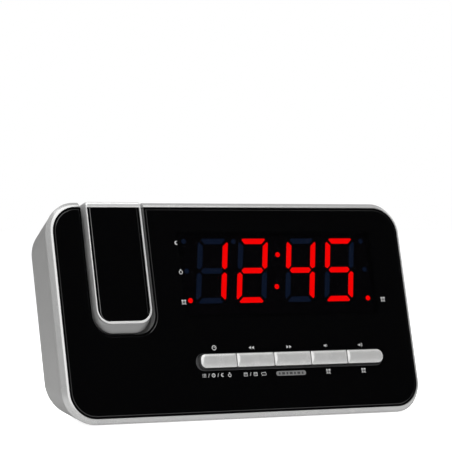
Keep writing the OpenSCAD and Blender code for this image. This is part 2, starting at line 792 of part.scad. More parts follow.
module speaker_cone() {
    color([0.15, 0.15, 0.15]) on_speaker() {
        difference() {
            translate([0, 0, 0.4]) cylinder(r = speaker_r - 2.7, h = 0.7);
            cylinder(r = speaker_r - 6, h = 3, center = true);
        }
        difference() {
            translate([0, 0, 0.4]) cylinder(r1 = speaker_r - 5.8, r2 = speaker_r - 13, h = 4.6);
            translate([0, 0, 0.4 - skin]) cylinder(r1 = speaker_r - 6.6, r2 = speaker_r - 13.8, h = 4.2);
        }
        translate([0, 0, 3.6]) cylinder(r = speaker_r - 12.4, h = speaker_t - 7.6);
    }
}

module speaker_magnet() {
    color("gray") on_speaker() {
        translate([0, 0, speaker_t - 4]) cylinder(r = speaker_r - 8, h = 4);
    }
}

module speaker_clamps() {
    color("silver") for (a = CLAMPS) {
        speaker_at(a) difference() {
            translate([-6, -2.5, 3]) cube([8.5, 5, 1]);
            cylinder(r = screw_r - 0.3, h = 9);
        }
        speaker_at(a) {
            translate([0, 0, 4]) cylinder(r = screw_r + 1, h = 1.2);
            translate([0, 0, -1]) cylinder(r = screw_r - 0.4, h = 5.1);
        }
        speaker_at(a) translate([-6, -2.5, 1.25]) cube([1, 5, 1.8]);
    }
}

// Tube of radius r along points, closed at both ends
function toward(a, b) = (b - a) / norm(b - a);
function ring_at(path, i, r, sides) =
    let (n = len(path), t = toward(path[max(i - 1, 0)], path[min(i + 1, n - 1)]),
        x = cross(t, abs(t[0]) < 0.8 ? [1, 0, 0] : [0, 0, 1]), a = x / norm(x), b = cross(t, a))
    [for (k = [0:sides - 1]) path[i] + r * (a * cos(360 * k / sides) + b * sin(360 * k / sides))];
function spline(p, i, t) =
    let (a = p[max(i - 1, 0)], b = p[i], c = p[i + 1], d = p[min(i + 2, len(p) - 1)])
    0.5 * (2 * b + (c - a) * t + (2 * a - 5 * b + 4 * c - d) * t * t + (3 * b - a - 3 * c + d) * t * t * t);
module lead(route, r) {
    sides = 8;
    path = [for (i = [0:len(route) - 2], t = [0:0.5:0.5]) spline(route, i, t), route[len(route) - 1]];
    n = len(path);
    polyhedron(points = [for (i = [0:n - 1]) each ring_at(path, i, r, sides)],
        faces = concat([[for (k = [0:sides - 1]) k]], [[for (k = [sides - 1:-1:0]) (n - 1) * sides + k]],
            [for (i = [0:n - 2], k = [0:sides - 1]) [i * sides + k, (i + 1) * sides + k,
                (i + 1) * sides + (k + 1) % sides, i * sides + (k + 1) % sides]]));
}

module projector_lead() {
    color("black") lead(PROJECTOR_ROUTE, lead_r);
}

module speaker_lead() {
    color("firebrick") lead(SPEAKER_ROUTE, lead_r);
}

module power_lead() {
    color("black") lead(POWER_ROUTE, lead_r);
}

// Round power inlet with a centre pin, held in the back wall by a nut
module dc_jack() {
    color([0.1, 0.1, 0.1]) translate([jack_x, jack_y, jack_z]) rotate([90, 0, 0]) {
        difference() {
            union() {
                cylinder(r = jack_r, h = wall + 1);
                translate([0, 0, wall - 0.2]) cylinder(r = jack_r + 1.6, h = jack_t);
            }
            translate([0, 0, -1]) cylinder(r = 3.1, h = jack_t + 0.5);
        }
        cylinder(r = 1, h = jack_t);
    }
}

module dc_jack_nut() {
    color("silver") translate([jack_x, back_y - 0.95, jack_z]) rotate([-90, 0, 0]) difference() {
        cylinder(r = jack_r + 2.4, h = 0.9, $fn = 6);
        translate([0, 0, -1]) cylinder(r = jack_r + 0.02, h = 4);
    }
}

// Rubber grommet round the aerial wire's outlet
module antenna_grommet() {
    color([0.08, 0.08, 0.08]) translate([grommet_x, back_y - wall, grommet_z]) rotate([-90, 0, 0])
        rotate_extrude() polygon([[1.2, -0.9], [4, -0.9], [4, -0.05], [2.55, -0.05], [2.55, wall - 0.05],
            [2.55, wall - 0.02], [1.2, wall - 0.02]]);
}

// Moulded tray that holds the backup cell against the door
module battery_tray() {
    y = back_in - tray_t;
    color("ivory") translate([tray_x, 0, door_mid_z]) difference() {
        translate([-tray_half, y, -tray_half]) cube([2 * tray_half, tray_t - fit, 2 * tray_half]);
        translate([0, y + 1.6, 0]) rotate([-90, 0, 0]) cylinder(r = cell_disc_r + 0.25, h = tray_t);
        translate([-3, y + 1.6, -tray_half - 1]) cube([6, tray_t, 4]);
    }
}

module coin_cell() {
    y = back_in - tray_t + 2.3;
    color("silver") translate([tray_x, y, door_mid_z]) rotate([-90, 0, 0]) {
        cylinder(r = cell_disc_r - 1, h = 0.4);
        translate([0, 0, 0.4 - skin]) cylinder(r = cell_disc_r, h = cell_disc_t - 0.4);
    }
}

module battery_contacts() {
    y = back_in - tray_t + 1.6;
    color("goldenrod") translate([tray_x, y, door_mid_z]) {
        translate([-6, 0, -2]) cube([12, 0.3, 4]);
        translate([-1.5, 0.25, -1.5]) cube([3, 0.4, 3]);
    }
}

// Sliding cover of the backup cell, flush in the back wall, with thumb grooves
module battery_door() {
    color("gainsboro") difference() {
        union() {
            translate([door_left, back_y - door_t, door_low]) cube([door_w, door_t, door_h]);
            translate([door_left, back_y - door_t, door_low - 1]) cube([door_w, 0.8, door_h + 2]);
        }
        for (k = [0:4]) translate([door_left + 4 + 2 * k, back_y - 0.4, door_mid_z - 6]) cube([1, 1, 12]);
    }
}

module rubber_feet() {
    color([0.1, 0.1, 0.1]) for (p = FEET) translate([p[0], p[1], 0])
        cylinder(r = foot_r, h = p[2] + foot_sink);
}

// The projector's outer form, drawn as outlines from its lip to its back
module projector_form(inset) {
    // depth, half width, top, bottom and lower corner radius of each outline
    sections = [
        [-proj_proud, proj_half - 0.3, proj_top - 0.8, lip_bottom + 0.3, lip_r],
        [0.35 - proj_proud, proj_half - 0.08, proj_top - 0.4, lip_bottom, lip_r + 0.2],
        [0.2, proj_half - 0.03, proj_top - 0.05, blend(lip_bottom, chin_bottom, 0.42), lip_r + 1],
        [2.2, proj_half, proj_top, blend(lip_bottom, chin_bottom, 0.8), lip_r + 1.8],
        [5, proj_half, proj_top - 0.15, chin_bottom, lip_r + 2.5],
        [12, proj_half - 0.05, proj_top - 1.1, chin_bottom + 0.1, lip_r + 2.4],
        [proj_back - 1.2, proj_half - 0.2, proj_top - 2.1, chin_bottom + 1.6, lip_r + 1.6],
        [proj_back - ring, proj_half - 1.1, proj_top - 3, chin_bottom + 3.4, lip_r + 0.6]];
    translate([slot_mid, 0, 0]) hull() for (s = sections)
        corners(s[0] + (s[0] < 5 ? inset : -inset), inset - s[1], s[1] - inset, s[3] + inset, s[2] - inset,
            1.2, s[4] - inset);
}

// The hollow inside the projector's shells
module projector_hollow() {
    top = proj_top - 3 - proj_wall + 1.35;
    translate([slot_mid, 0, 0]) {
        plate(window_d + window_t, split_d + 6) round_rect(-proj_half + proj_wall, proj_half - proj_wall,
            lip_bottom + proj_wall + 0.6, top, 1, lip_r - 1);
        plate(split_d + 5, proj_back - proj_wall) round_rect(-proj_half + proj_wall, proj_half - proj_wall,
            chin_bottom + proj_wall + 3.6, top, 1, lip_r - 1);
    }
}

// The opening over the lens and the focus wheel's room, on the lens axis
module lens_room() {
    upright(slot_mid, lens_d, cell_r - 0.2, wheel_top, proj_top + 5);
    upright(slot_mid, lens_d, focus_r + loose, wheel_low - fit, wheel_top + fit);
}

module window_outline(g) {
    round_rect(slot_mid - proj_half + lip_w - g, slot_mid + proj_half - lip_w + g, lip_bottom + lip_w - g,
        proj_top - 0.4 - lip_w + g, 0.6, lip_r - lip_w + g);
}

// Silver front of the projector: the bright lip, the chin and the sides
module projector_frame() {
    color("silver") on_face() difference() {
        projector_form(0);
        plate(split_d, far) square(2 * far, center = true);
        plate(-far, window_d + window_t) window_outline(fit);
        projector_hollow();
        lens_room();
        for (x = [-1, 1]) translate([slot_mid + x * (proj_half - 3.2), 0, lip_bottom + 5])
            rotate([-90, 0, 0]) cylinder(r = screw_r - 0.4, h = far);
    }
}

// Silver back of the projector, with the bosses for the hinge pins and the lens bulkhead
module projector_shell() {
    color("darkgray") on_face() difference() {
        union() {
            difference() {
                projector_form(0);
                plate(-far, split_d + running) square(2 * far, center = true);
                projector_hollow();
            }
            intersection() {
                projector_form(0.2);
                union() {
                    for (x = [-1, 1]) translate([slot_mid + x * (proj_half - 2.2), pivot_d, pivot_v])
                        rotate([0, 90, 0]) cylinder(r = pin_r + 1.6, h = 3.9, center = true);
                    plate(split_d + running, proj_back - 0.5)
                        translate([slot_mid - proj_half + 1, wheel_low - bulkhead_t - fit])
                            square([proj_w - 2, bulkhead_t]);
                    for (x = [-1, 1]) translate([slot_mid + x * (proj_half - 3.2), 0, lip_bottom + 5])
                        rotate([-90, 0, 0]) translate([0, 0, split_d + running])
                            cylinder(r = 2.2, h = proj_back - split_d - 1);
                }
                plate(split_d + running, far) square(2 * far, center = true);
            }
        }
        lens_room();
        upright(slot_mid, lens_d, cell_r + running, cell_low - 3, wheel_top);
        for (x = [-1, 1]) {
            translate([slot_mid + x * (proj_half - pin_in / 2), pivot_d, pivot_v]) rotate([0, 90, 0])
                cylinder(r = pin_r + 0.02, h = pin_in + 0.02, center = true);
            translate([slot_mid + x * (proj_half - 5), pivot_d, pivot_v]) rotate([0, 90, 0])
                cylinder(r = pin_bore_r, h = 5, center = true);
            bar([slot_mid + x * (proj_half - 3.2), lip_bottom + 5], screw_r - 0.2, 0, far);
            bar([slot_mid + x * (proj_half - 3.2), lip_bottom + 5], screw_r + 1.2, proj_back - 2.4, far);
        }
    }
}

// Black glossy insert in the projector's front, with a bevel round it
module projector_window() {
    bevel_w = 1;
    color([0.02, 0.02, 0.025]) on_face() {
        hull() {
            corners(window_d, slot_mid - proj_half + lip_w + bevel_w, slot_mid + proj_half - lip_w - bevel_w,
                lip_bottom + lip_w + bevel_w, proj_top - 0.4 - lip_w - bevel_w, 0.3, lip_r - lip_w - bevel_w);
            corners(window_d + 0.4, slot_mid - proj_half + lip_w, slot_mid + proj_half - lip_w,
                lip_bottom + lip_w, proj_top - 0.4 - lip_w, 0.6, lip_r - lip_w);
        }
        plate(window_d + 0.4, window_d + window_t) window_outline(0);
    }
}

// Hollow pins that the projector turns on
module hinge_pins() {
    color("silver") on_face() for (s = [-1, 1])
        translate([slot_mid + s * (proj_half - pin_in), pivot_d, pivot_v]) rotate([0, s * 90, 0])
            difference() {
                cylinder(r = pin_r, h = pin_in + pin_out);
                translate([0, 0, -1]) cylinder(r = pin_bore_r, h = pin_in + pin_out + 2);
            }
}

// Friction washers between the projector and the bay
module hinge_washers() {
    color("black") on_face() for (s = [-1, 1])
        translate([slot_mid + s * (proj_half + fit), pivot_d, pivot_v]) rotate([0, s * 90, 0])
            difference() {
                cylinder(r = pin_r + 2.3, h = side_gap - 2 * fit);
                translate([0, 0, -1]) cylinder(r = pin_r + 0.02, h = side_gap + 2);
            }
}

// Dark tube that carries the lamp, the condenser and the time slide
module light_tube() {
    color([0.15, 0.15, 0.16]) on_face() difference() {
        translate([slot_mid - tube_half_w, tube_front, tube_low])
            cube([2 * tube_half_w, tube_back - tube_front, tube_top - tube_low]);
        difference() {
            translate([slot_mid - tube_half_w + tube_wall, tube_front + tube_wall, tube_low - 1])
                cube([2 * (tube_half_w - tube_wall), tube_back - tube_front - 2 * tube_wall,
                    tube_top - tube_low + 2]);
            for (v = [tube_low + 9, tube_low + 13.6]) translate([slot_mid - tube_half_w, tube_front, v])
                cube([2 * tube_half_w, tube_back - tube_front, 1]);
        }
        upright(slot_mid, tube_mid_d, 4.2, tube_low - 1, tube_top + 1);
    }
}

module lamp_board() {
    color("darkgreen") on_face() translate([slot_mid - tube_half_w, tube_front, tube_low - 1.3])
        cube([2 * tube_half_w, tube_back - tube_front, 1.2]);
}

module projection_lamp() {
    color("lightyellow") on_face() translate([slot_mid, tube_mid_d, tube_low - 0.1]) {
        cylinder(r = 2.9, h = 1.2);
        cylinder(r = 2.5, h = 5);
        translate([0, 0, 5]) sphere(2.5);
    }
}

// Aluminium plate under the lamp's board
module heat_spreader() {
    color("lightgray") on_face() {
        translate([slot_mid - tube_half_w + 1, tube_front + 1, tube_low - 2.4])
            cube([2 * tube_half_w - 2, tube_back - tube_front - 1, 1]);
    }
}

module condenser_lens() {
    color([0.8, 0.9, 1, 0.5]) on_face() translate([slot_mid, tube_mid_d, tube_low + 10]) intersection() {
        cylinder(r = 5.4, h = 3.4);
        translate([0, 0, 3.4 - 9]) sphere(9);
    }
}

// Glass slide that forms the projected figures
module time_slide() {
    color([0.3, 0.35, 0.4, 0.7]) on_face() translate([slot_mid - tube_half_w + tube_wall + 0.2,
        tube_front + tube_wall + 0.2, tube_low + 14.65])
        cube([2 * (tube_half_w - tube_wall - 0.2), tube_back - tube_front - 2 * tube_wall - 0.4, 1.1]);
}

module projector_screws() {
    color("silver") on_face() for (x = [-1, 1]) {
        p = [slot_mid + x * (proj_half - 3.2), lip_bottom + 5];
        bar(p, screw_r - 0.5, 2, proj_back - 2.4);
        bar(p, screw_r + 1, proj_back - 2.4, proj_back - 1.2);
    }
}

// Knurled wheel that focuses the lens; its rim shows in the projector's back
module focus_wheel() {
    ribs = 30;
    color("dimgray") on_face() translate([slot_mid, lens_d, wheel_low]) difference() {
        cylinder(r = focus_r, h = focus_w);
        translate([0, 0, -1]) cylinder(r = cell_r + running, h = focus_w + 2);
        for (k = [0:ribs - 1]) rotate([0, 0, 360 * (k + 0.5) / ribs]) translate([focus_r + 0.25, 0, -1])
            cylinder(r = 0.65, h = focus_w + 2, $fn = 12);
    }
}

module lens_cell() {
    color([0.1, 0.1, 0.1]) on_face() translate([slot_mid, lens_d, 0]) difference() {
        translate([0, 0, cell_low]) cylinder(r = cell_r, h = cell_top - cell_low);
        translate([0, 0, cell_low - 1]) cylinder(r = lens_r - 0.8, h = far);
        translate([0, 0, lens_low]) cylinder(r = lens_r + 0.02, h = far);
    }
}

module projection_lens() {
    bulge_r = 16;
    color([0.8, 0.9, 1, 0.5]) on_face() translate([slot_mid, lens_d, lens_low]) intersection() {
        cylinder(r = lens_r, h = lens_t);
        translate([0, 0, lens_t - bulge_r]) sphere(bulge_r, $fn = 96);
        translate([0, 0, bulge_r]) sphere(bulge_r, $fn = 96);
    }
}

module lens_clip() {
    color("black") on_face() translate([slot_mid, lens_d, lens_low + lens_t - 0.75]) difference() {
        cylinder(r = lens_r, h = 1.4);
        translate([0, 0, -1]) cylinder(r = lens_r - 0.7, h = 4);
    }
}

// One key: a domed bar, the flange that holds it in, and its stem; end radii at left and right
module key(k, left_r, right_r) {
    u0 = key_left + k * key_pitch;
    u1 = u0 + key_pitch - key_gap;
    // depth and inset of each outline of the domed front
    sections = [[-key_proud, 1.5, 0.7], [0.25 - key_proud, 0.85, 0.35], [0.75 - key_proud, 0.3, 0.14],
        [1.5 - key_proud, 0.04, 0.04], [flange_d + 0.2, 0, 0]];
    color("silver") on_face() {
        hull() for (s = sections) {
            half = key_h / 2 - s[1];
            rl = min(max(left_r - s[2], key_edge_r), half - ring);
            rr = min(max(right_r - s[2], key_edge_r), half - ring);
            plate(s[0], s[0] + ring) for (y = [-1, 1]) {
                translate([u0 + s[2] + rl, key_v + y * (half - rl)]) circle(rl, $fn = rl > 1 ? 32 : 16);
                translate([u1 - s[2] - rr, key_v + y * (half - rr)]) circle(rr, $fn = rr > 1 ? 32 : 16);
            }
        }
        translate([u0, flange_d, key_v - key_h / 2 - 1.2]) cube([u1 - u0, flange_t, key_h + 2.4]);
        bar([(u0 + u1) / 2, key_v], 2, flange_d + flange_t - skin, stem_d);
    }
}

module clock_key() { key(0, 3, key_edge_r); }
module rewind_key() { key(1, key_edge_r, key_edge_r); }
module forward_key() { key(2, key_edge_r, key_edge_r); }
module quieter_key() { key(3, key_edge_r, key_edge_r); }
module louder_key() { key(4, key_edge_r, key_h / 2); }

front_bezel();
main_housing();
back_cover();
front_panel();
projector_bay();
key_trim();
display_block();
lit_segments();
dark_segments();
display_pins();
main_board();
clock_chip();
small_chips();
crystal();
capacitors();
board_connectors();
key_board();
tact_switches();
key_ribbon();
inner_screws();
speaker_basket();
speaker_cone();
speaker_magnet();
speaker_clamps();
speaker_lead();
dc_jack();
dc_jack_nut();
power_lead();
antenna_grommet();
battery_tray();
coin_cell();
battery_contacts();
battery_door();
rubber_feet();
cover_screws();
hinge_bushes();
projector_lead();
projector_frame();
projector_shell();
projector_window();
hinge_pins();
hinge_washers();
light_tube();
lamp_board();
projection_lamp();
heat_spreader();
condenser_lens();
time_slide();
projector_screws();
focus_wheel();
lens_cell();
projection_lens();
lens_clip();
clock_key();
rewind_key();
forward_key();
quieter_key();
louder_key();
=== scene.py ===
"""Projection alarm clock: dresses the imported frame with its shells, panel, keys, projector and display.

Shapes are drawn in the leaning face's own frame, in millimetres: X to the right, Y into the clock and Z up
along the face, from the middle of the front panel. Back fittings use the room's frame.
"""

import json
import logging
import math
from dataclasses import dataclass, field, replace
from enum import Enum, StrEnum, auto
from typing import Any, Iterable, Sequence

import bmesh
import bpy
from mathutils import Matrix, Vector

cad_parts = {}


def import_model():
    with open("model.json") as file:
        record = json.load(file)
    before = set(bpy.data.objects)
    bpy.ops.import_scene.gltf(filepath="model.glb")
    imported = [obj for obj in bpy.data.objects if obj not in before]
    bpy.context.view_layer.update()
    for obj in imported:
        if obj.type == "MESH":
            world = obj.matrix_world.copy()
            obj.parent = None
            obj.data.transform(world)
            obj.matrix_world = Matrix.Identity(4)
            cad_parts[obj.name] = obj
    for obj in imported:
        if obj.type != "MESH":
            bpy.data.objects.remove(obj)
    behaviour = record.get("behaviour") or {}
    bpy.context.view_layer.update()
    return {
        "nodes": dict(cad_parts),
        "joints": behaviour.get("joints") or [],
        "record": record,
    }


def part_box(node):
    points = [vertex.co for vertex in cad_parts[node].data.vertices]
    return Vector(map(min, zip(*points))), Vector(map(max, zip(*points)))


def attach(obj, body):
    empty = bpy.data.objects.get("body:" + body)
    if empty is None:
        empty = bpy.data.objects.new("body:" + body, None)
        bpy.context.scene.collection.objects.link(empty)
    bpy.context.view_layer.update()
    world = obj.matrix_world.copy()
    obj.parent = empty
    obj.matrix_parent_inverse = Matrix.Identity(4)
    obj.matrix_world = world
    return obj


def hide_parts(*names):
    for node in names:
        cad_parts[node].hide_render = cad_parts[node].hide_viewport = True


LOG = logging.getLogger("alarm_clock")
MM = 0.001

Mesh = bmesh.types.BMesh
Material = bpy.types.Material
Piece = bpy.types.Object
Pair = tuple[float, float]
Colour = tuple[float, float, float]
Row = tuple[float, ...]


class Slot(StrEnum):
    """The record's material slots."""

    SILVER_BODY = auto()
    SILVER_GLOSS = auto()
    PANEL_BLACK = auto()
    BAY_SILVER = auto()
    TRIM_GREY = auto()
    BLACK_PLASTIC = auto()
    LED_RED = auto()
    LED_DARK = auto()
    METAL_STEEL = auto()
    METAL_GOLD = auto()
    BOARD_GREEN = auto()
    CHIP_BLACK = auto()
    IVORY_PLASTIC = auto()
    RUBBER_BLACK = auto()
    KEY_SILVER = auto()
    LEAD_BLACK = auto()
    LEAD_RED = auto()
    CONE_PAPER = auto()
    ALUMINIUM = auto()
    CLEAR_GLASS = auto()
    SLIDE_GLASS = auto()
    LAMP_EPOXY = auto()
    COVER_SILVER = auto()
    CAPACITOR_BLUE = auto()
    RIBBON_GREY = auto()


class Special(StrEnum):
    """Finishes of single pieces, or of some of their faces."""

    DISPLAY_MASK = auto()
    EDGE_LINE = auto()
    SLOT_WALL = auto()
    KEY_WALL = auto()
    BRIGHT_LIP = auto()
    SATIN_FLANK = auto()
    INSERT_LINE = auto()
    PRINT_GREY = auto()
    PRINT_DARK = auto()
    PRINT_PILL = auto()


class Plane(Enum):
    """The two planes that outlines are drawn on."""

    LEANING = auto()
    UPRIGHT = auto()


def fill(target: Any, **values: Any) -> Any:
    """Sets attributes of one of Blender's items, and returns it."""
    for key, value in values.items():
        setattr(target, key, value)
    return target


def grey(level: float) -> Colour:
    """Returns a neutral colour."""
    return (level, level, level)


# ---- frames and outlines


@dataclass(frozen=True)
class Face:
    """The leaning face's frame.

    Args:
        origin: middle of the panel's outer face, in room metres.
        lean: lean from upright, in radians.
    """

    origin: Vector
    lean: float

    def matrix(self) -> Matrix:
        """Returns the matrix from face millimetres to room metres."""
        return Matrix.Translation(self.origin) @ Matrix.Rotation(-self.lean, 4, "X") @ Matrix.Scale(MM, 4)

    def from_room(self) -> Matrix:
        """Returns the matrix from room millimetres to face millimetres."""
        return self.matrix().inverted() @ Matrix.Scale(MM, 4)


@dataclass(frozen=True)
class Outline:
    """A rounded rectangle from left to right along X and from low to high along Z, in millimetres.

    Its depth is along Y, and its lower and its upper corners have a radius each.
    """

    depth: float
    left: float
    right: float
    low: float
    high: float
    low_r: float
    high_r: float
    plane: Plane = Plane.LEANING

    def grown(self, by: float) -> "Outline":
        """Returns the outline grown outwards by a distance."""
        return replace(self, left=self.left - by, right=self.right + by, low=self.low - by,
                       high=self.high + by, low_r=self.low_r + by, high_r=self.high_r + by)

    def corner(self, point: Vector) -> tuple[bool, bool]:
        """Returns whether a point of the outline belongs to the right and to the upper corners."""
        return point.x > (self.left + self.right) / 2, point.z > (self.low + self.high) / 2

    def centre(self, right: bool, upper: bool) -> tuple[Vector, float]:
        """Returns the centre and the radius of one corner."""
        r = self.high_r if upper else self.low_r
        x = self.right - r if right else self.left + r
        z = self.high - r if upper else self.low + r
        return Vector((x, self.depth, z)), r


def round_off(bm: Mesh, geom: list[Any], radius: float, steps: int, affect: str = "VERTICES",
              clamp: bool = False) -> None:
    """Rounds corners, or edges, of a mesh to a radius in some steps."""
    bmesh.ops.bevel(bm, geom=geom, offset=radius, offset_type="OFFSET", segments=steps, profile=0.5,
                    affect=affect, clamp_overlap=clamp, material=-1)


def draw_outline(outline: Outline, steps: int) -> Mesh:
    """Returns a new mesh whose one flat face is an outline, with some segments in each round corner."""
    bm = bmesh.new()
    corners = bmesh.ops.create_grid(bm, x_segments=1, y_segments=1, size=1)["verts"]
    for vert in corners:
        vert.co = Vector((outline.right if vert.co.x > 0 else outline.left, outline.depth,
                          outline.high if vert.co.y > 0 else outline.low))
    middle = (outline.low + outline.high) / 2
    lower = [v for v in corners if v.co.z < middle]
    upper = [v for v in corners if v.co.z > middle]
    round_off(bm, lower, outline.low_r, steps)
    round_off(bm, upper, outline.high_r, steps)
    return bm


def loft(outlines: Sequence[Outline], steps: int = 10, closed: bool = False,
         from_room: Matrix | None = None) -> Mesh:
    """Skins a row of outlines.

    Args:
        outlines: the outlines in order.
        steps: segments in each round corner.
        closed: whether the last outline joins the first, which makes a ring with a wall.
        from_room: matrix that brings upright outlines into the face's frame.

    Returns:
        A new mesh in the face's frame.
    """
    bm = draw_outline(outlines[0], steps)
    first = next(iter(bm.faces))
    edges = list(first.edges)
    before = outlines[0]
    placed = [(list(first.verts), before)]
    if closed:
        bmesh.ops.delete(bm, geom=[first], context="FACES_ONLY")
    for outline in [*outlines[1:], *outlines[:closed]]:
        made = bmesh.ops.extrude_edge_only(bm, edges=edges)["geom"]
        verts = [g for g in made if isinstance(g, bmesh.types.BMVert)]
        fresh = set(verts)
        edges = [g for g in made if isinstance(g, bmesh.types.BMEdge) and set(g.verts) <= fresh]
        for vert in verts:
            sides = before.corner(vert.co)
            here, r = before.centre(*sides)
            there, new_r = outline.centre(*sides)
            vert.co = there + (vert.co - here) * (new_r / r)
            vert.co.y = outline.depth
        placed.append((verts, outline))
        before = outline
    for verts, outline in placed:
        if outline.plane is Plane.UPRIGHT:
            for vert in verts:
                vert.co = from_room @ vert.co
    if closed:
        bmesh.ops.remove_doubles(bm, verts=bm.verts, dist=1e-4)
    else:
        bmesh.ops.edgeloop_fill(bm, edges=edges)
    mend(bm)
    return bm


def notch(bm: Mesh, left: float, right: float, radius: float, above: float = 40.0) -> None:
    """Opens a ring between two widths above a height, and closes the two cut ends.

    Args:
        bm: the ring to open.
        left: lower X of the opening.
        right: upper X of the opening.
        radius: rounding of the cut ends' edges.
        above: height over which the ring is cut.
    """
    for x in (left, right):
        geom = [*bm.verts, *bm.edges, *bm.faces]
        bmesh.ops.bisect_plane(bm, geom=geom, plane_co=(x, 0, 0), plane_no=(1, 0, 0), dist=1e-4)
    gone = [f for f in bm.faces
            if left < f.calc_center_median().x < right and f.calc_center_median().z > above]
    bmesh.ops.delete(bm, geom=gone, context="FACES")
    rims = []
    for x in (left, right):
        open_edges = [e for e in bm.edges if e.is_boundary and all(abs(v.co.x - x) < 1e-3 for v in e.verts)]
        bmesh.ops.edgeloop_fill(bm, edges=open_edges)
        rims += open_edges
    mend(bm)
    round_off(bm, rims, radius, 4, "EDGES", True)


def mend(bm: Mesh) -> None:
    """Turns a mesh's faces outwards."""
    bmesh.ops.recalc_face_normals(bm, faces=bm.faces)


def mark_behind(bm: Mesh, depth: float) -> None:
    """Gives the faces behind a depth the second finish."""
    for face in bm.faces:
        face.material_index = int(face.calc_center_median().y > depth)


def quarter(steps: int) -> list[Pair]:
    """Returns a quarter turn's sines, and how far its cosines fall short of 1, from 0 in even steps."""
    angles = [math.pi / 2 * i / steps for i in range(steps + 1)]
    return [(math.sin(a), 1 - math.cos(a)) for a in angles]


def rod(radius: float, start: Vector, end: Vector, segments: int = 48) -> Mesh:
    """Returns a closed round bar between two points."""
    bm = bmesh.new()
    along = end - start
    place = Matrix.Translation((start + end) / 2) @ along.to_track_quat("Z", "Y").to_matrix().to_4x4()
    bmesh.ops.create_cone(bm, cap_ends=True, segments=segments, radius1=radius, radius2=radius,
                          depth=along.length, matrix=place)
    return bm


def block(low: Vector, high: Vector, place: Matrix | None = None) -> Mesh:
    """Returns a box between two corners, moved by a matrix when one is given."""
    bm = bmesh.new()
    scale = Matrix.Diagonal((*(high - low), 1))
    bmesh.ops.create_cube(bm, size=1, matrix=Matrix.Translation((low + high) / 2) @ scale)
    if place is not None:
        bmesh.ops.transform(bm, matrix=place, verts=bm.verts)
    return bm


# ---- shader maths


class Wire:
    """A shader socket that takes part in Python sums.

    Args:
        tree: the shader tree that owns the socket.
        socket: the output socket.
    """

    def __init__(self, tree: "Tree", socket: bpy.types.NodeSocket) -> None:
        """Keeps the tree and the socket."""
        self.tree = tree
        self.socket = socket

    def math(self, operation: str, *values: "Wire | float") -> "Wire":
        """Returns this wire put through one Math node with other values."""
        return self.tree.node("Math", dict(enumerate((self, *values))), operation=operation)

    def __add__(self, other: "Wire | float") -> "Wire":
        """Returns the sum."""
        return self.math("ADD", other)

    def __mul__(self, other: "Wire | float") -> "Wire":
        """Returns the product."""
        return self.math("MULTIPLY", other)

    def __sub__(self, other: "Wire | float") -> "Wire":
        """Returns the difference."""
        return self.math("SUBTRACT", other)

    def __rsub__(self, other: float) -> "Wire":
        """Returns the reflected difference."""
        return self.tree.node("Math", {0: other, 1: self}, operation="SUBTRACT")

    def between(self, low: float, high: float, soft: float) -> "Wire":
        """Returns 1 where this value lies between two limits, with soft edges."""
        middle, half = (low + high) / 2, (high - low) / 2
        return self.tree.spread((self - middle).math("ABSOLUTE"), 0.0, 1.0, half + soft, half - soft)


class Tree:
    """The node tree of a material or of the world.

    Args:
        owner: the material or the world.
        shader: name of its main shader node.
    """

    def __init__(self, owner: Any, shader: str) -> None:
        """Turns the owner's nodes on."""
        owner.use_nodes = True
        self.owner = owner
        self.nodes = owner.node_tree.nodes
        self.links = owner.node_tree.links
        self.shader = self.nodes[shader]

    def node(self, kind: str, inputs: dict[Any, Any], output: Any = 0, **settings: Any) -> Wire:
        """Makes one node.

        Args:
            kind: the node's type, without its prefix.
            inputs: values or wires for its sockets, by name or number.
            output: which output to return.
            settings: its own settings.

        Returns:
            The chosen output.
        """
        made = fill(self.nodes.new("ShaderNode" + kind), **settings)
        for key, value in inputs.items():
            self.feed(made.inputs[key], value)
        return Wire(self, made.outputs[output])

    def feed(self, socket: bpy.types.NodeSocket, value: Any) -> None:
        """Links a wire to a socket, or sets the socket's value."""
        if isinstance(value, Wire):
            self.links.new(value.socket, socket)
        elif socket.type == "RGBA" and len(value) == 3:
            socket.default_value = (*value, 1.0)
        else:
            socket.default_value = value

    def set(self, **sockets: Any) -> None:
        """Feeds the main shader's sockets, with underscores for the spaces in their names."""
        for name, value in sockets.items():
            self.feed(self.shader.inputs[name.replace("_", " ")], value)

    def place(self) -> Wire:
        """Returns the object's coordinates."""
        return self.node("TexCoord", {}, "Object")

    def noise(self, scale: float, detail: float = 2.0) -> Wire:
        """Returns noise with a number of cells in a metre."""
        return self.node("TexNoise", {"Vector": self.place(), "Scale": scale, "Detail": detail}, "Fac")

    def spread(self, value: Wire, low: float, high: float, start: float = 0.3, end: float = 0.7) -> Wire:
        """Returns a value's range from start to end spread over low to high."""
        limits = {"From Min": start, "From Max": end, "To Min": low, "To Max": high}
        return self.node("MapRange", {"Value": value, **limits})

    def tint(self, factor: Wire, dark: Any, light: Any) -> Wire:
        """Returns a colour mixed between two."""
        return self.node("Mix", {0: factor, 6: dark, 7: light}, 2, data_type="RGBA")

    def bump(self, height: Wire, distance: float) -> Wire:
        """Returns a normal bent by a height, with the distance in metres."""
        return self.node("Bump", {"Height": height, "Distance": distance, "Strength": 1.0})


# ---- finishes


@dataclass(frozen=True)
class Finish:
    """A finish with a mean colour."""

    colour: Colour

    def shade(self, share: float) -> list[float]:
        """Returns the colour made darker or lighter by a share."""
        return [min(c * share, 1.0) for c in self.colour]

    def dress(self, tree: Tree) -> None:
        """Wires the finish's nodes."""
        raise NotImplementedError

    def build(self, name: str) -> Material:
        """Returns the finish as a new material."""
        tree = Tree(bpy.data.materials.new(name), "Principled BSDF")
        self.dress(tree)
        return tree.owner


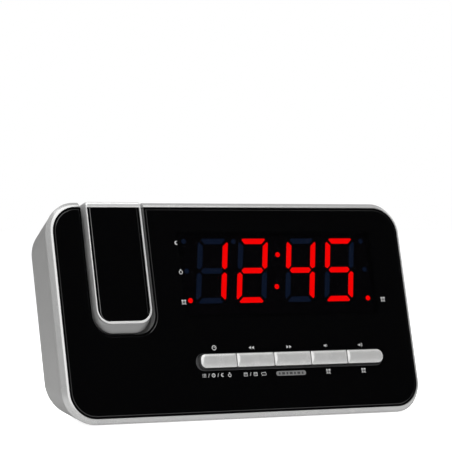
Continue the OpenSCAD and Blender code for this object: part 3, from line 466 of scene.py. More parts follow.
@dataclass(frozen=True)
class Paint(Finish):
    """Satin or bright metallic paint or plating over moulded plastic.

    Args:
        metallic: share of mirror-like metal.
        rough: mean roughness.
        flake: how far the flakes vary the colour.
        peel: height of the paint's fine waves, in metres.
        painted_shade_below: two heights in metres and the colour's share below the first: painted shade that
            makes the paint darker below those heights.
        flake_cells: flakes in a metre.
        cloud_cells: clouds in a metre.
        wave_cells: waves in a metre.
        cloud_rough: how far the clouds vary the roughness.
    """

    metallic: float
    rough: float
    flake: float = 0.05
    peel: float = 0.000004
    painted_shade_below: Colour | None = None
    flake_cells: float = 9000
    cloud_cells: float = 45
    wave_cells: float = 1400
    cloud_rough: float = 0.03

    def dress(self, tree: Tree) -> None:
        """Wires flakes, cloudy roughness and fine waves."""
        flakes = tree.noise(self.flake_cells, 1.0)
        cloud = tree.noise(self.cloud_cells, 3.0)
        colour = tree.tint(tree.spread(flakes, 0, 1), self.shade(1 - self.flake), self.shade(1 + self.flake))
        # painted shade: below the first height the colour is darkened to a share, as if it lay in shade
        if self.painted_shade_below:
            low, high, share = self.painted_shade_below
            height = tree.node("SeparateXYZ", {0: tree.place()}, "Z")
            colour = tree.tint(tree.spread(height, 0, 1, low, high), self.shade(share), colour)
        low, high = self.rough - self.cloud_rough, self.rough + self.cloud_rough
        tree.set(Base_Color=colour, Metallic=self.metallic,
                 Roughness=tree.spread(cloud * 0.6 + flakes * 0.4, low, high),
                 Normal=tree.bump(tree.noise(self.wave_cells), self.peel))


@dataclass(frozen=True)
class Moulded(Finish):
    """Moulded plastic or rubber with a fine spark-eroded grain.

    Args:
        rough: mean roughness.
        grain: cells of grain in a metre.
        depth: depth of the grain, in metres.
        specular: strength of the surface's own reflection.
    """

    rough: float
    grain: float = 5000
    depth: float = 0.00002
    specular: float = 0.5

    def dress(self, tree: Tree) -> None:
        """Wires grain and wear."""
        grain = tree.noise(self.grain)
        wear = tree.noise(60, 3.0)
        mottle = tree.spread(wear * 0.5 + grain * 0.5, 0, 1)
        tree.set(Base_Color=tree.tint(mottle, self.shade(0.88), self.shade(1.1)),
                 Roughness=tree.spread(wear, self.rough - 0.05, min(self.rough + 0.05, 1.0)),
                 Normal=tree.bump(grain, self.depth), Specular_IOR_Level=self.specular)


@dataclass(frozen=True)
class Metal(Finish):
    """Bare metal with fine brush lines, with its mean colour and roughness."""

    rough: float = 0.28
    brush: Colour = (400.0, 9000.0, 9000.0)

    def dress(self, tree: Tree) -> None:
        """Wires the brush lines."""
        place = tree.node("Mapping", {"Vector": tree.place(), "Scale": self.brush})
        lines = tree.node("TexNoise", {"Vector": place, "Scale": 1.0, "Detail": 2.0}, "Fac")
        tree.set(Base_Color=tree.tint(tree.spread(lines, 0, 1), self.shade(0.9), self.colour),
                 Metallic=1.0, Roughness=tree.spread(lines, self.rough - 0.06, self.rough + 0.08),
                 Normal=tree.bump(lines, 0.000003))


@dataclass(frozen=True)
class Acrylic(Finish):
    """High-gloss panel with a smoked window over the display.

    Args:
        centre: middle of the window, in room metres.
        half_w: half the window's width, in metres.
        half_h: half its height, in metres.
        clear: how much of what lies behind shows through it.
        soft: half the width of its soft edge, in metres.
    """

    centre: Vector
    half_w: float
    half_h: float
    clear: float = 0.6
    soft: float = 0.0012

    def dress(self, tree: Tree) -> None:
        """Wires the gloss and the window."""
        here = tree.node("Mapping", {"Vector": tree.place(), "Location": -self.centre})
        across, up = (tree.node("SeparateXYZ", {"Vector": here}, i).between(-half, half, self.soft)
                      for i, half in ((0, self.half_w), (2, self.half_h)))
        tree.set(Base_Color=self.colour, Roughness=tree.spread(tree.noise(22, 4.0), 0.03, 0.055),
                 Specular_IOR_Level=0.42, Alpha=1 - across * up * self.clear,
                 Normal=tree.bump(tree.noise(60, 1.0), 0.0000015))


@dataclass(frozen=True)
class Glow(Finish):
    """A segment's diffuser, lit or unlit, with its body's colour and its light's colour and strength. An
    unlit segment's faint navy glow is painted light, as it gives no light of its own.
    """

    light: Colour
    strength: float

    def dress(self, tree: Tree) -> None:
        """Wires the cloudy light."""
        dim = [c * 0.93 for c in self.light]
        tree.set(Base_Color=self.colour, Roughness=0.6, Specular_IOR_Level=0.1,
                 Emission_Color=tree.tint(tree.noise(700), dim, self.light), Emission_Strength=self.strength)


@dataclass(frozen=True)
class Glass(Finish):
    """Clear or grey glass, with its tint and how much of that covers what lies behind."""

    alpha: float

    def dress(self, tree: Tree) -> None:
        """Wires a faint smear."""
        tree.set(Base_Color=self.colour, Roughness=tree.spread(tree.noise(300, 3.0), 0.02, 0.06),
                 Alpha=self.alpha, Coat_Weight=1.0, Coat_Roughness=0.02)


@dataclass(frozen=True)
class Board(Finish):
    """Circuit board with copper tracks under its coloured mask."""

    def dress(self, tree: Tree) -> None:
        """Wires the tracks."""
        tracks = tree.node("TexBrick", {"Vector": tree.place(), "Scale": 420.0, "Mortar Size": 0.06}, 1,
                           offset=0.37, squash=0.6)
        light = [min(c * 2.1 + 0.01, 1.0) for c in self.colour]
        tree.set(Base_Color=tree.tint(tracks, self.colour, light), Roughness=0.32,
                 Normal=tree.bump(tracks, 0.00002))


# ---- the bench


class Bench:
    """Turns meshes into named, dressed pieces that ride on the frame's bodies.

    Args:
        face: the leaning face's frame.
    """

    def __init__(self, face: Face) -> None:
        """Keeps the face and starts an empty shelf of materials."""
        self.face = face
        self.materials: dict[str, Material] = {}

    def rough_piece(self, name: str, bm: Mesh) -> Piece:
        """Returns a new object that holds a mesh from the face's frame, at its place in the room."""
        bmesh.ops.transform(bm, matrix=self.face.matrix(), verts=bm.verts)
        mesh = bpy.data.meshes.new(name)
        for slot in (Slot.PANEL_BLACK, Slot.SILVER_GLOSS, Slot.BAY_SILVER):
            mesh.materials.append(self.materials[slot])
        bm.to_mesh(mesh)
        bm.free()
        piece = bpy.data.objects.new(name, mesh)
        bpy.context.scene.collection.objects.link(piece)
        return piece

    def settle(self, piece: Piece) -> None:
        """Puts a piece's modifiers into its mesh."""
        graph = bpy.context.evaluated_depsgraph_get()
        mesh = bpy.data.meshes.new_from_object(piece.evaluated_get(graph))
        piece.modifiers.clear()
        old = piece.data
        piece.data = mesh
        bpy.data.meshes.remove(old)

    def carve(self, piece: Piece, cutters: Iterable[Mesh]) -> None:
        """Takes cutters, drawn in the face's frame, out of a piece."""
        tools = [self.rough_piece("cutter", bm) for bm in cutters]
        for tool in tools:
            fill(piece.modifiers.new("cut", "BOOLEAN"), object=tool, operation="DIFFERENCE", solver="EXACT")
        self.settle(piece)
        for tool in tools:
            mesh = tool.data
            bpy.data.objects.remove(tool)
            bpy.data.meshes.remove(mesh)

    def add(self, name: str, bm: Mesh, slot: Slot, replaces: Sequence[str] = (), body: str = "cabinet",
            soften: float = 0.0, cutters: Sequence[Mesh] = (), angle: float = 38.0,
            finishes: Sequence[str] = ()) -> None:
        """Finishes a piece and hangs it on a body.

        Args:
            name: the piece's name.
            bm: its mesh, in the face's frame.
            slot: the record's slot that it takes its finish from.
            replaces: the CAD nodes that it stands for.
            body: the body that it rides on.
            soften: width of the rounding on its sharp edges, in millimetres.
            cutters: meshes to take out of it.
            angle: angle over which an edge counts as sharp, in degrees.
            finishes: the finish of each material index, where it isn't the slot's alone.
        """
        piece = self.rough_piece(name, bm)
        if cutters:
            self.carve(piece, cutters)
        if soften:
            fill(piece.modifiers.new("soften", "BEVEL"), width=soften * MM, segments=2, limit_method="ANGLE",
                 angle_limit=math.radians(angle), use_clamp_overlap=True)
            self.settle(piece)
        piece.data.shade_smooth()
        piece.data.set_sharp_from_angle(angle=math.radians(angle))
        piece.modifiers.new("weigh", "WEIGHTED_NORMAL").keep_sharp = True
        used = finishes or (slot,)
        for i, finish in enumerate(used):
            piece.data.materials[i] = self.materials[finish]
        while len(piece.data.materials) > len(used):
            piece.data.materials.pop()
        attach(piece, body)
        if replaces:
            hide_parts(*replaces)
        LOG.info("%s rides on %s with %d faces", name, body, len(piece.data.polygons))


# ---- sub-assemblies


@dataclass
class Shell:
    """Sizes of the leaning case that the other sub-assemblies share, in millimetres."""

    panel_w: float = 182.4
    panel_h: float = 96.5
    panel_r: float = 12.2
    rim_w: float = 2.5
    rim_d: float = 1.85
    body_d: float = 28.0
    side_taper: float = 3.9
    top_taper: float = 4.0
    rear_r: float = 15.3
    wall: float = 2.2
    seam_d: float = 6.4
    under_clear: float = 2.6
    slot_margin: float = 14.55
    slot_w: float = 32.1
    slot_bottom: float = -10.6
    slot_r: float = 9.4
    back_half: float = 76.0
    back_top: float = 80.0
    back_r: float = 12.0
    sill_v: float = 29.1
    seam: float = 0.06
    hinge_d: float = 9.5
    hinge_drop: float = 11.05

    def __post_init__(self) -> None:
        """Works out the sizes that follow from the others."""
        self.slot_left = -self.panel_w / 2 + self.slot_margin
        self.slot_right = self.slot_left + self.slot_w
        self.slot_mid = (self.slot_left + self.slot_right) / 2
        self.half_w = self.panel_w / 2 + self.rim_w
        self.half_h = self.panel_h / 2 + self.rim_w

    def stand(self, face: Face) -> None:
        """Works out the height of the case's lower edge at its rear outline, along the face."""
        height = self.under_clear - face.origin.z / MM + self.body_d * math.sin(face.lean)
        self.rear_low = height / math.cos(face.lean)

    def body(self, depth: float, inset: float = 0.0) -> Outline:
        """Returns the case's outline at a depth, set in from its outer face."""
        t = (depth - self.rim_d) / (self.body_d - self.rim_d)
        half = self.half_w - self.side_taper * t
        top = self.half_h - self.top_taper * t
        low = -self.half_h + (self.rear_low + self.half_h) * t
        radius = self.panel_r + self.rim_w
        radius += (self.rear_r - radius) * t
        return Outline(depth, -half, half, low, top, radius, radius).grown(-inset)

    def panel(self, depth: float, grow: float = 0.0) -> Outline:
        """Returns the panel's outline at a depth, grown outwards."""
        w, h = self.panel_w / 2, self.panel_h / 2
        return Outline(depth, -w, w, -h, h, self.panel_r, self.panel_r).grown(grow)


@dataclass
class Case:
    """The silver rim, the middle housing and the rear cover."""

    shell: Shell
    play: float = 0.08
    crest_w: float = 1.1
    crest_steps: int = 6
    crest_form: Colour = (0.06, 0.15, 0.27)
    facet: tuple[float, ...] = (0.12, 0.4, 0.75, 0.93, 1.0)
    facet_bulge: float = 1.12
    side_facet_d: float = 3.2
    flat_facet_d: float = 1.85
    inner_wall: float = 2.0
    inner_d: float = 2.6
    edge: float = 0.12
    back_edge: float = 1.4
    back_steps: int = 5
    screw_r: float = 3.1
    screw_seat_d: float = 27.6
    grille_r: float = 16.5
    grille_slot: float = 1.6
    grille_pitch: float = 3.3
    grille_half_count: int = 4
    speaker: Pair = (4.0, 42.0)
    jack: Pair = (-38.0, 22.0)
    grommet: Pair = (-62.0, 22.0)
    door: tuple[float, float, float, float] = (46.5, 75.5, 26.0, 53.0)
    door_t: float = 1.5
    door_fit: float = 0.15
    groove: float = 1.0
    groove_t: float = 0.8

    def end(self, depth: float, way: int) -> list[Outline]:
        """Returns the outlines of a wall's softened front end, with way -1, or rear end, with way 1."""
        s, e = self.shell, self.edge
        rows = [s.body(depth - way * e), s.body(depth - way * e * 0.3, e * 0.3), s.body(depth, e),
                s.body(depth, self.inner_wall)]
        return rows[::way]

    def rim(self, bench: Bench) -> None:
        """Builds the bright rim round the panel, open where the projector lies."""
        s = self.shell
        rows = [s.panel(2.0, self.play), s.panel(0.2, self.play)]
        base, slope, curve = self.crest_form
        for i in range(self.crest_steps + 1):
            out = self.crest_w * i / self.crest_steps
            rows.append(s.panel(base + slope * out + curve * out * out, self.play + out))
        start = rows[-1].depth
        slump = {}
        for t in self.facet:
            depth = start + (self.flat_facet_d - start) * t
            slump[round(depth, 4)] = start + (self.side_facet_d - start) * t
            reach = (s.rim_w - 2 * self.play - self.crest_w) * (1 - (1 - t) ** self.facet_bulge)
            rows.append(s.panel(depth, self.play + self.crest_w + reach))
        rows += [s.body(self.side_facet_d + 0.5), *self.end(s.seam_d - s.seam / 2, 1),
                 s.body(self.inner_d, self.inner_wall)]
        bm = loft(rows, steps=14, closed=True)
        outline = s.panel(0.0)
        for vert in bm.verts:
            deep = slump.get(round(vert.co.y, 4))
            if deep is not None:
                off = vert.co - outline.centre(*outline.corner(vert.co))[0]
                vert.co.y += (deep - vert.co.y) * (off.x ** 2 / (off.x ** 2 + off.z ** 2))
        mark_behind(bm, self.side_facet_d)
        notch(bm, s.slot_left, s.slot_right, radius=0.55)
        bench.add("front_rim", bm, Slot.SILVER_GLOSS, ["front_bezel"], angle=30,
                  finishes=(Slot.SILVER_GLOSS, Slot.SILVER_BODY))

    def housing(self, bench: Bench) -> None:
        """Builds the tapered middle housing."""
        s = self.shell
        start, end = s.seam_d + s.seam / 2, s.body_d - s.seam / 2
        bm = loft([*self.end(start, -1), s.body((start + end) / 2), *self.end(end, 1)], steps=16, closed=True)
        notch(bm, s.slot_left, s.slot_right, radius=0.3)
        bench.add("middle_housing", bm, Slot.SILVER_BODY, ["main_housing"], angle=30)

    def back_row(self, back_y: float, depth: float, inset: float) -> Outline:
        """Returns the upright back wall's outline, some way in front of its face."""
        s = self.shell
        return Outline(back_y - depth, -s.back_half, s.back_half, s.under_clear, s.back_top, s.back_r,
                       s.back_r, Plane.UPRIGHT).grown(-inset)

    def cover_skin(self, bench: Bench, back_y: float, inset: float, front: float) -> Mesh:
        """Returns the rear cover's closed form, set in from its outer face."""
        s, e, b = self.shell, self.edge, self.back_edge
        start = s.body_d + s.seam / 2 - front
        rows = [s.body(start, e + inset), s.body(start + e, inset)]
        rows += [self.back_row(back_y, inset + b * (1 - sine), inset + b * fall)
                 for sine, fall in quarter(self.back_steps)]
        return loft(rows, steps=14, from_room=bench.face.from_room())

    def posts(self) -> list[Pair]:
        """Returns the places of the cover's screws on the face."""
        s = self.shell
        left = -(s.half_w - s.side_taper - s.slot_left) / 2 + 0.4
        right = s.half_w - s.side_taper - 7.8
        return [(left, 24), (left, s.rear_low + 14), (-36.75, s.sill_v), (s.slot_right + 8, s.rear_low + 10),
                (right, 30), (right, s.rear_low + 14)]

    def cover(self, bench: Bench, back_y: float) -> None:
        """Builds the rear cover with its notch, grille, recesses and holes, to a back wall's distance."""
        s = self.shell
        room = bench.face.from_room()
        near, far = 5, 200.0
        cutters = [self.cover_skin(bench, back_y, s.wall, 1.0),
                   block(Vector((s.slot_left, 0, s.sill_v)), Vector((s.slot_right, far, far)))]
        for x, v in self.posts():
            cutters.append(rod(self.screw_r, Vector((x, self.screw_seat_d, v)),
                               Vector((x, self.screw_seat_d + 40, v))))
        x, half = self.speaker[0], self.grille_slot / 2
        for k in range(-self.grille_half_count, self.grille_half_count + 1):
            z = self.speaker[1] - k * self.grille_pitch
            reach = math.sqrt(self.grille_r ** 2 - (k * self.grille_pitch) ** 2) - half
            slot = [Outline(back_y + y, x - reach, x + reach, z - half, z + half, half * 0.98, half * 0.98,
                            Plane.UPRIGHT) for y in (-near, near)]
            cutters.append(loft(slot, steps=5, from_room=room))
        holes = ((self.jack, 4.1, near), (self.jack, 6.6, 1.0), (self.grommet, 2.65, near))
        for (x, z), radius, depth in holes:
            front, rear = (room @ Vector((x, back_y + y, z)) for y in (-depth, near))
            cutters.append(rod(radius, front, rear))
        left, right, low, high = self.door
        fit, back = self.door_fit, back_y - self.door_t
        for ledge, rear in ((0.0, back_y + near), (self.groove, back + self.groove_t)):
            cutters.append(block(Vector((left - fit, back - fit, low - ledge - fit)),
                                 Vector((far, rear + fit, high + ledge + fit)), room))
        bench.add("rear_cover", self.cover_skin(bench, back_y, 0.0, 0.0), Slot.COVER_SILVER, ["back_cover"],
                  soften=0.3, cutters=cutters, angle=33)


@dataclass(frozen=True)
class Bend:
    """One corner of the front panel's outline, at its X and Z before it is rounded.

    Inward are the signs of X and Z that lead from the corner to its arc's centre. The centre of a hollow
    corner's arc lies outside the panel, as at the slot's bottom.
    """

    x: float
    z: float
    inward: tuple[int, int]
    radius: float
    hollow: bool = False

    def arc(self, inset: float) -> tuple[Vector, float]:
        """Returns the arc's centre, on the face, and its radius when the panel's edge is set in."""
        way = -1 if self.hollow else 1
        radius = max(self.radius - way * inset, 0.03)
        shift = way * inset + radius
        return Vector((self.x + self.inward[0] * shift, 0, self.z + self.inward[1] * shift)), radius


@dataclass
class FrontPanel:
    """The black gloss panel with its stepped edge, slot and key opening."""

    shell: Shell
    thickness: float = 2.0
    chamfer: float = 0.1
    border: float = 0.9
    step_d: float = 0.22
    mouth_r: float = 0.35
    # width of the front step that carries the edge line's painted highlight
    line: float = 0.26
    left_cover: float = 0.4

    def bends(self) -> list[Bend]:
        """Returns the corners of the outline in order."""
        s = self.shell
        w, h = s.panel_w / 2, s.panel_h / 2
        left = s.slot_left + self.left_cover
        return [Bend(-w, -h, (1, 1), s.panel_r), Bend(w, -h, (-1, 1), s.panel_r),
                Bend(w, h, (-1, -1), s.panel_r), Bend(s.slot_right, h, (1, -1), self.mouth_r),
                Bend(s.slot_right, s.slot_bottom, (-1, 1), s.slot_r, True),
                Bend(left, s.slot_bottom, (1, 1), s.slot_r, True),
                Bend(left, h, (-1, -1), self.mouth_r), Bend(-w, h, (1, -1), s.panel_r)]

    def build(self, bench: Bench, keys: "KeyRow") -> None:
        """Builds the panel, with a lighter finish on its edge lines as a painted highlight, and a finish for
        the slot's cut wall.
        """
        bench.add("front_glass", self.plate(), Slot.PANEL_BLACK, ["front_panel"], cutters=[keys.opening()],
                  angle=25, finishes=(Slot.PANEL_BLACK, Special.EDGE_LINE, Special.SLOT_WALL))

    def plate(self) -> Mesh:
        """Returns the panel's plate with its notch and stepped edge."""
        bends = self.bends()
        bm = bmesh.new()
        skin = bm.faces.new([bm.verts.new((bend.x, self.thickness, bend.z)) for bend in bends])
        owner = {}
        for vert, bend in zip(list(skin.verts), bends):
            old = set(bm.verts) - {vert}
            round_off(bm, [vert], bend.radius, 16 if bend.radius > 1 else 4)
            owner.update({v: bend for v in bm.verts if v not in old and v not in owner})
        skin = next(iter(bm.faces))
        inset = 0.0
        rim = self.chamfer + self.border
        # depth, inset and finish of each ring from the back to the front
        rings = ((self.step_d + self.chamfer, 0.0, 0), (self.step_d, self.chamfer, 0), (self.step_d, rim, 0),
                 (0.0, rim + self.line, 1))
        # the front step's faces take finish 1, the edge line's painted highlight
        for depth, new_inset, finish in rings:
            old_verts = list(skin.verts)
            skin = bmesh.ops.extrude_discrete_faces(bm, faces=[skin])["faces"][0]
            for before, vert in zip(old_verts, skin.verts):
                owner[vert] = owner[before]
                (here, r), (there, new_r) = (owner[before].arc(away) for away in (inset, new_inset))
                vert.co = there + (Vector((vert.co.x, 0, vert.co.z)) - here) * (new_r / r)
                vert.co.y = depth
            for wall in {wall for edge in skin.edges for wall in edge.link_faces} - {skin}:
                wall.material_index = self.finish_at(wall.calc_center_median(), finish)
            inset = new_inset
        bmesh.ops.edgeloop_fill(bm, edges=[edge for edge in bm.edges if edge.is_boundary])
        mend(bm)
        return bm

    def finish_at(self, at: Vector, finish: int) -> int:
        """Returns an edge face's finish: the slot's wall has its own, and its left and foot, where no
        highlight shows, have no painted highlight line.
        """
        s = self.shell
        margin = self.chamfer + self.border + self.line
        across = s.slot_left - 0.01 < at.x < s.slot_right + 0.01
        if at.y > self.step_d + self.chamfer and across and at.z > s.slot_bottom - 0.01:
            return 2
        plain = s.slot_left - margin < at.x < s.slot_right - 1 and s.slot_bottom - margin < at.z
        return 0 if plain and at.z < s.panel_h / 2 - margin else finish


@dataclass
class KeyRow:
    """The five silver keys in one row, and the dark liner of their opening.

    Their outlines are drawn turned, with X and Z swapped, so that the two ends have a radius each.
    """

    shell: Shell
    names: tuple[str, ...] = ("clock", "rewind", "forward", "quieter", "louder")
    pitch: float = 19.8
    gap: float = 0.4
    groove: float = 0.15
    height: float = 6.7
    cap_height: float = 6.1
    cap_rise: float = 0.28
    proud: float = 2.2
    foot_d: float = 3.0
    rise: float = 23.9
    margin: float = 18.9
    room: float = 0.25
    trim: float = 0.45
    left_extra: float = 0.35
    first_short: float = 1.0
    first_r: float = 2.4
    small_r: float = 0.5
    crown: float = 0.62
    crown_steps: int = 10
    top_round: float = 1.4
    low_round: float = 4.0
    side_round: float = 1.8
    edge_r: float = 0.12
    liner_rows: tuple[Pair, ...] = ((3.9, 0), (0.3, 0), (0.12, -0.07), (0.1, -0.2), (0.3, -0.32))
    well_rows: tuple[Pair, ...] = ((0.7, 0.1), (0.85, 0), (3.9, 0))

    def __post_init__(self) -> None:
        """Works out where the row lies."""
        s = self.shell
        self.left = s.slot_right + self.margin
        self.right = self.left + 5 * self.pitch - self.gap
        self.middle = -s.panel_h / 2 + self.rise

    def row(self, depth: float, grow: float) -> Outline:
        """Returns the opening's outline at a depth, grown outwards."""
        half = self.height / 2 + self.room + self.trim + grow
        left = self.left - self.room - self.trim - self.left_extra - grow
        right = self.right + self.room + self.trim + grow
        return Outline(depth, self.middle - half, self.middle + half, left, right, half - 0.02, half - 0.02)

    def well(self, depth: float, grow: float) -> Outline:
        """Returns the outline of the well that the caps stand in, grown outwards."""
        half = self.cap_height / 2 + self.room + grow
        middle = self.middle + self.cap_rise
        left = self.left + self.first_short - self.room - grow
        right = self.right + self.room + grow
        return Outline(depth, middle - half, middle + half, left, right, self.first_r + grow, half - 0.02)

    def cap(self, k: int, depth: float, share: float, grow: float = 0.0) -> Outline:
        """Returns a cap's outline at a depth.

        Args:
            k: the cap's place in the row. The first one's left end and the last one's right end are round.
            depth: its depth.
            share: share of the crown's reach that it stays inside the cap's edge.
            grow: how far it lies outside the cap's edge.
        """
        first, last = k == 0, k == len(self.names) - 1
        u0 = self.left + k * self.pitch
        u1 = u0 + self.pitch - self.gap - self.groove * (not last)
        u0 += self.first_short * first
        half = self.cap_height / 2 + grow
        low = self.middle + self.cap_rise - half + self.low_round * share
        high = self.middle + self.cap_rise + half - self.top_round * share
        side = self.side_round * share - grow
        r = (high - low) / 2 - 0.02
        small = max(self.small_r - side * 0.2, 0.3)
        left_r = min(max(self.first_r - side, 0.4), r) if first else small
        return Outline(depth, low, high, u0 + side, u1 - side, left_r, r if last else small)

    def skin(self, rows: Sequence[Outline], closed: bool = False) -> Mesh:
        """Returns a mesh skinned over turned outlines, and turned back."""
        bm = loft(rows, closed=closed)
        swap = Matrix(((0, 0, 1, 0), (0, 1, 0, 0), (1, 0, 0, 0), (0, 0, 0, 1)))
        bmesh.ops.transform(bm, matrix=swap, verts=bm.verts)
        mend(bm)
        return bm

    def opening(self) -> Mesh:
        """Returns the solid that the panel's opening takes out."""
        return self.skin([self.row(-5, 0.06), self.row(5, 0.06)])

    def liner(self, bench: Bench) -> None:
        """Builds the liner ring, which is widest beside the first key."""
        rows = [self.row(*r) for r in self.liner_rows] + [self.well(*r) for r in self.well_rows]
        bench.add("key_liner", self.skin(rows, closed=True), Slot.TRIM_GREY, ["key_trim"])

    def key(self, bench: Bench, k: int) -> None:
        """Builds one key with its crown, which is longest below, and its darker walls."""
        foot = -self.proud + self.crown
        rows = [self.cap(k, -self.proud + self.crown * (i / self.crown_steps) ** 2, 1 - i / self.crown_steps)
                for i in range(self.crown_steps + 1)]
        rows += [self.cap(k, foot + self.edge_r * 0.4, 0.0, 0.7 * self.edge_r),
                 self.cap(k, foot + self.edge_r * 1.2, 0.0, self.edge_r),
                 self.cap(k, self.foot_d, 0.0, self.edge_r)]
        bm = self.skin(rows)
        mark_behind(bm, foot + self.edge_r)
        name = self.names[k] + "_key"
        bench.add(name + "_cap", bm, Slot.KEY_SILVER, [name], name, angle=40,
                  finishes=(Slot.KEY_SILVER, Special.KEY_WALL))

    def build(self, bench: Bench) -> None:
        """Builds the liner and the keys."""
        self.liner(bench)
        for k in range(len(self.names)):
            self.key(bench, k)


@dataclass
class Projector:
    """The swinging projector: its bright frame, black window and rear shell."""

    shell: Shell
    width: float = 27.9
    top_gap: float = 0.25
    lip_left: float = 0.54
    lip_right: float = 1.0
    lip_top: float = 2.7
    lip_low: float = 1.3
    lip_r: float = 6.5
    lip_bottom: float = -6.1
    lip_d: float = -1.84
    lip_reach: float = 0.95
    lip_steps: tuple[int, int] = (5, 10)
    bright: float = 0.6
    mouth_d: float = -0.3
    thick_d: float = 0.6
    thick: float = 1.2
    crest: float = 0.3
    side_crest: float = 0.12
    bevel_end: float = 0.85
    bevel_drop: float = 0.25
    seat_d: float = -1.5
    chin_bottom: float = -10.0
    split: float = 5.7
    flank_depths: Row = (-0.5, -0.1, 0.2, 0.4, 0.8, 1.2, 1.6, 2.2, 3.1, 4.0, 5.0, 5.6)
    rear_depths: Row = (5.9, 7.5, 10, 12, 14, 15.5, 16.6, 17.4, 17.9, 18.15)
    hollow_rows: tuple[Pair, ...] = ((4.8, 0.4), (14.5, 0.4), (16.6, 1.2))
    wall: float = 1.5
    window_front: float = -1.62
    window_rows: tuple[Pair, ...] = ((1.4, -0.02), (0.2, -0.02), (0.15, -0.08), (0.15, -1.25), (0.0, -1.52))
    lens_d: float = 9.8
    lens_bore: Colour = (6.7, 44, 60)
    wheel_bore: Colour = (9.7, 42.1, 47.5)

    def __post_init__(self) -> None:
        """Works out the projector's top and half width."""
        self.half = self.width / 2
        self.top = self.shell.half_h - self.top_gap

    def form(self, depth: float, inset: float = 0.0) -> Outline:
        """Returns the outer form's outline at a depth behind the lip."""
        # depth, side inset, top inset, low edge, lower corner radius
        table = ((-1.4, 0.09, 0.2, -5.35, 6.5), (0.2, 0.03, 0.02, -7.5, 7.4), (0.4, 0.03, 0.02, -7.75, 7.5),
                 (1.6, 0.0, 0.0, -9.75, 8.8), (5.0, 0.0, 0.15, self.chin_bottom, 9.0),
                 (12.0, 0.05, 1.1, -9.9, 8.9), (16.95, 0.2, 2.1, -8.4, 8.1), (18.15, 1.1, 3.0, -6.6, 7.1))
        k = max(i for i in range(len(table) - 1) if table[i][0] <= depth or i == 0)
        a, b = table[k], table[k + 1]
        t = min(max((depth - a[0]) / (b[0] - a[0]), 0.0), 1.0)
        side, top, low, low_r = (a[i] + (b[i] - a[i]) * t for i in range(1, 5))
        mid = self.shell.slot_mid
        return Outline(depth, mid - self.half + side, mid + self.half - side, low, self.top - top, low_r,
                       1.2).grown(-inset)

    def mouth(self, depth: float, grow: float = 0.0) -> Outline:
        """Returns the window opening's outline at a depth, grown outwards."""
        mid = self.shell.slot_mid
        r = self.lip_r - self.lip_low * 0.55
        return Outline(depth, mid - self.half + self.lip_left, mid + self.half - self.lip_right,
                       self.lip_bottom + self.lip_low, self.top - self.lip_top, r, 0.35).grown(grow)

    def across(self, end: float, side: float, depth: float) -> Outline:
        """Returns the lip's outline between the window and the outer form.

        Args:
            end: share of the lip's width at its top and foot.
            side: share of its width at its sides.
            depth: the outline's depth.
        """
        a, b = self.mouth(depth), self.form(self.lip_d + self.lip_reach)
        shares = {"left": side, "right": side, "low": end, "high": end, "low_r": end, "high_r": end}
        return Outline(depth, *(getattr(a, key) + (getattr(b, key) - getattr(a, key)) * share
                                for key, share in shares.items()))

    def side_share(self, drop: float) -> float:
        """Returns how far out a side's lip is at a share of its drop: a bevel, then a round edge."""
        if drop < self.bevel_drop:
            return self.side_crest + (self.bevel_end - self.side_crest) * drop / self.bevel_drop
        rest = (drop - self.bevel_drop) / (1 - self.bevel_drop)
        return self.bevel_end + (1 - self.bevel_end) * math.sqrt(1 - (1 - rest) ** 2)

    def frame(self, bench: Bench) -> None:
        """Builds the frame with its arched lip in a brighter copy of the silver, a painted highlight, and its
        rougher flanks in a duller copy with painted shade.
        """
        inner, outer = self.lip_steps
        rows = [self.mouth(self.mouth_d), self.mouth(self.seat_d)]
        rows += [self.across(self.crest * (1 - sine), self.side_crest * (1 - sine),
                             self.lip_d + (self.seat_d - self.lip_d) * fall)
                 for sine, fall in quarter(inner)[-2::-1]]
        rows += [self.across(self.crest + (1 - self.crest) * sine, self.side_share(fall),
                             self.lip_d + self.lip_reach * fall) for sine, fall in quarter(outer)[1:]]
        rows += [self.form(d) for d in self.flank_depths]
        rows += [self.form(self.split, 0.1), self.form(self.split, self.wall),
                 self.form(self.thick_d, self.wall + self.thick)]
        bm = loft(rows, steps=14, closed=True)
        # the lip's front share takes a brighter copy of the silver, a painted highlight; the faces behind
        # take a duller copy with painted shade
        mark_behind(bm, self.lip_d + self.lip_reach * self.bright)
        bench.add("projector_bezel", bm, Slot.SILVER_GLOSS, ["projector_frame"], "projector",
                  cutters=[self.bore(*self.lens_bore)], angle=35,
                  finishes=(Special.BRIGHT_LIP, Special.SATIN_FLANK))

    def bore(self, radius: float, low: float, high: float) -> Mesh:
        """Returns a round bar along the lens axis, between two heights."""
        at = (self.shell.slot_mid, self.lens_d)
        return rod(radius, Vector((*at, low)), Vector((*at, high)), 64)

    def rear(self, bench: Bench) -> None:
        """Builds the satin rear shell."""
        rows = [self.form(self.split + 0.1, 0.1)] + [self.form(d) for d in self.rear_depths]
        hollow = loft([self.form(d, self.wall + extra) for d, extra in self.hollow_rows])
        bench.add("projector_back", loft(rows, steps=14), Slot.BAY_SILVER, ["projector_shell"], "projector",
                  cutters=[hollow, self.bore(*self.lens_bore), self.bore(*self.wheel_bore)], soften=0.25)

    def window(self, bench: Bench) -> None:
        """Builds the black insert with its stepped edge, whose left side takes a painted highlight."""
        front = self.window_front
        rows = [self.mouth(front + depth, grow) for depth, grow in self.window_rows]
        flush = rows[2]
        rows = [replace(o, high_r=max(o.high_r, 0.2), high=max(o.high, flush.high - 0.02 * k),
                        low=min(o.low, flush.low + 0.02 * k)) for k, o in enumerate(rows, -2)]
        bm = loft(rows, steps=14)
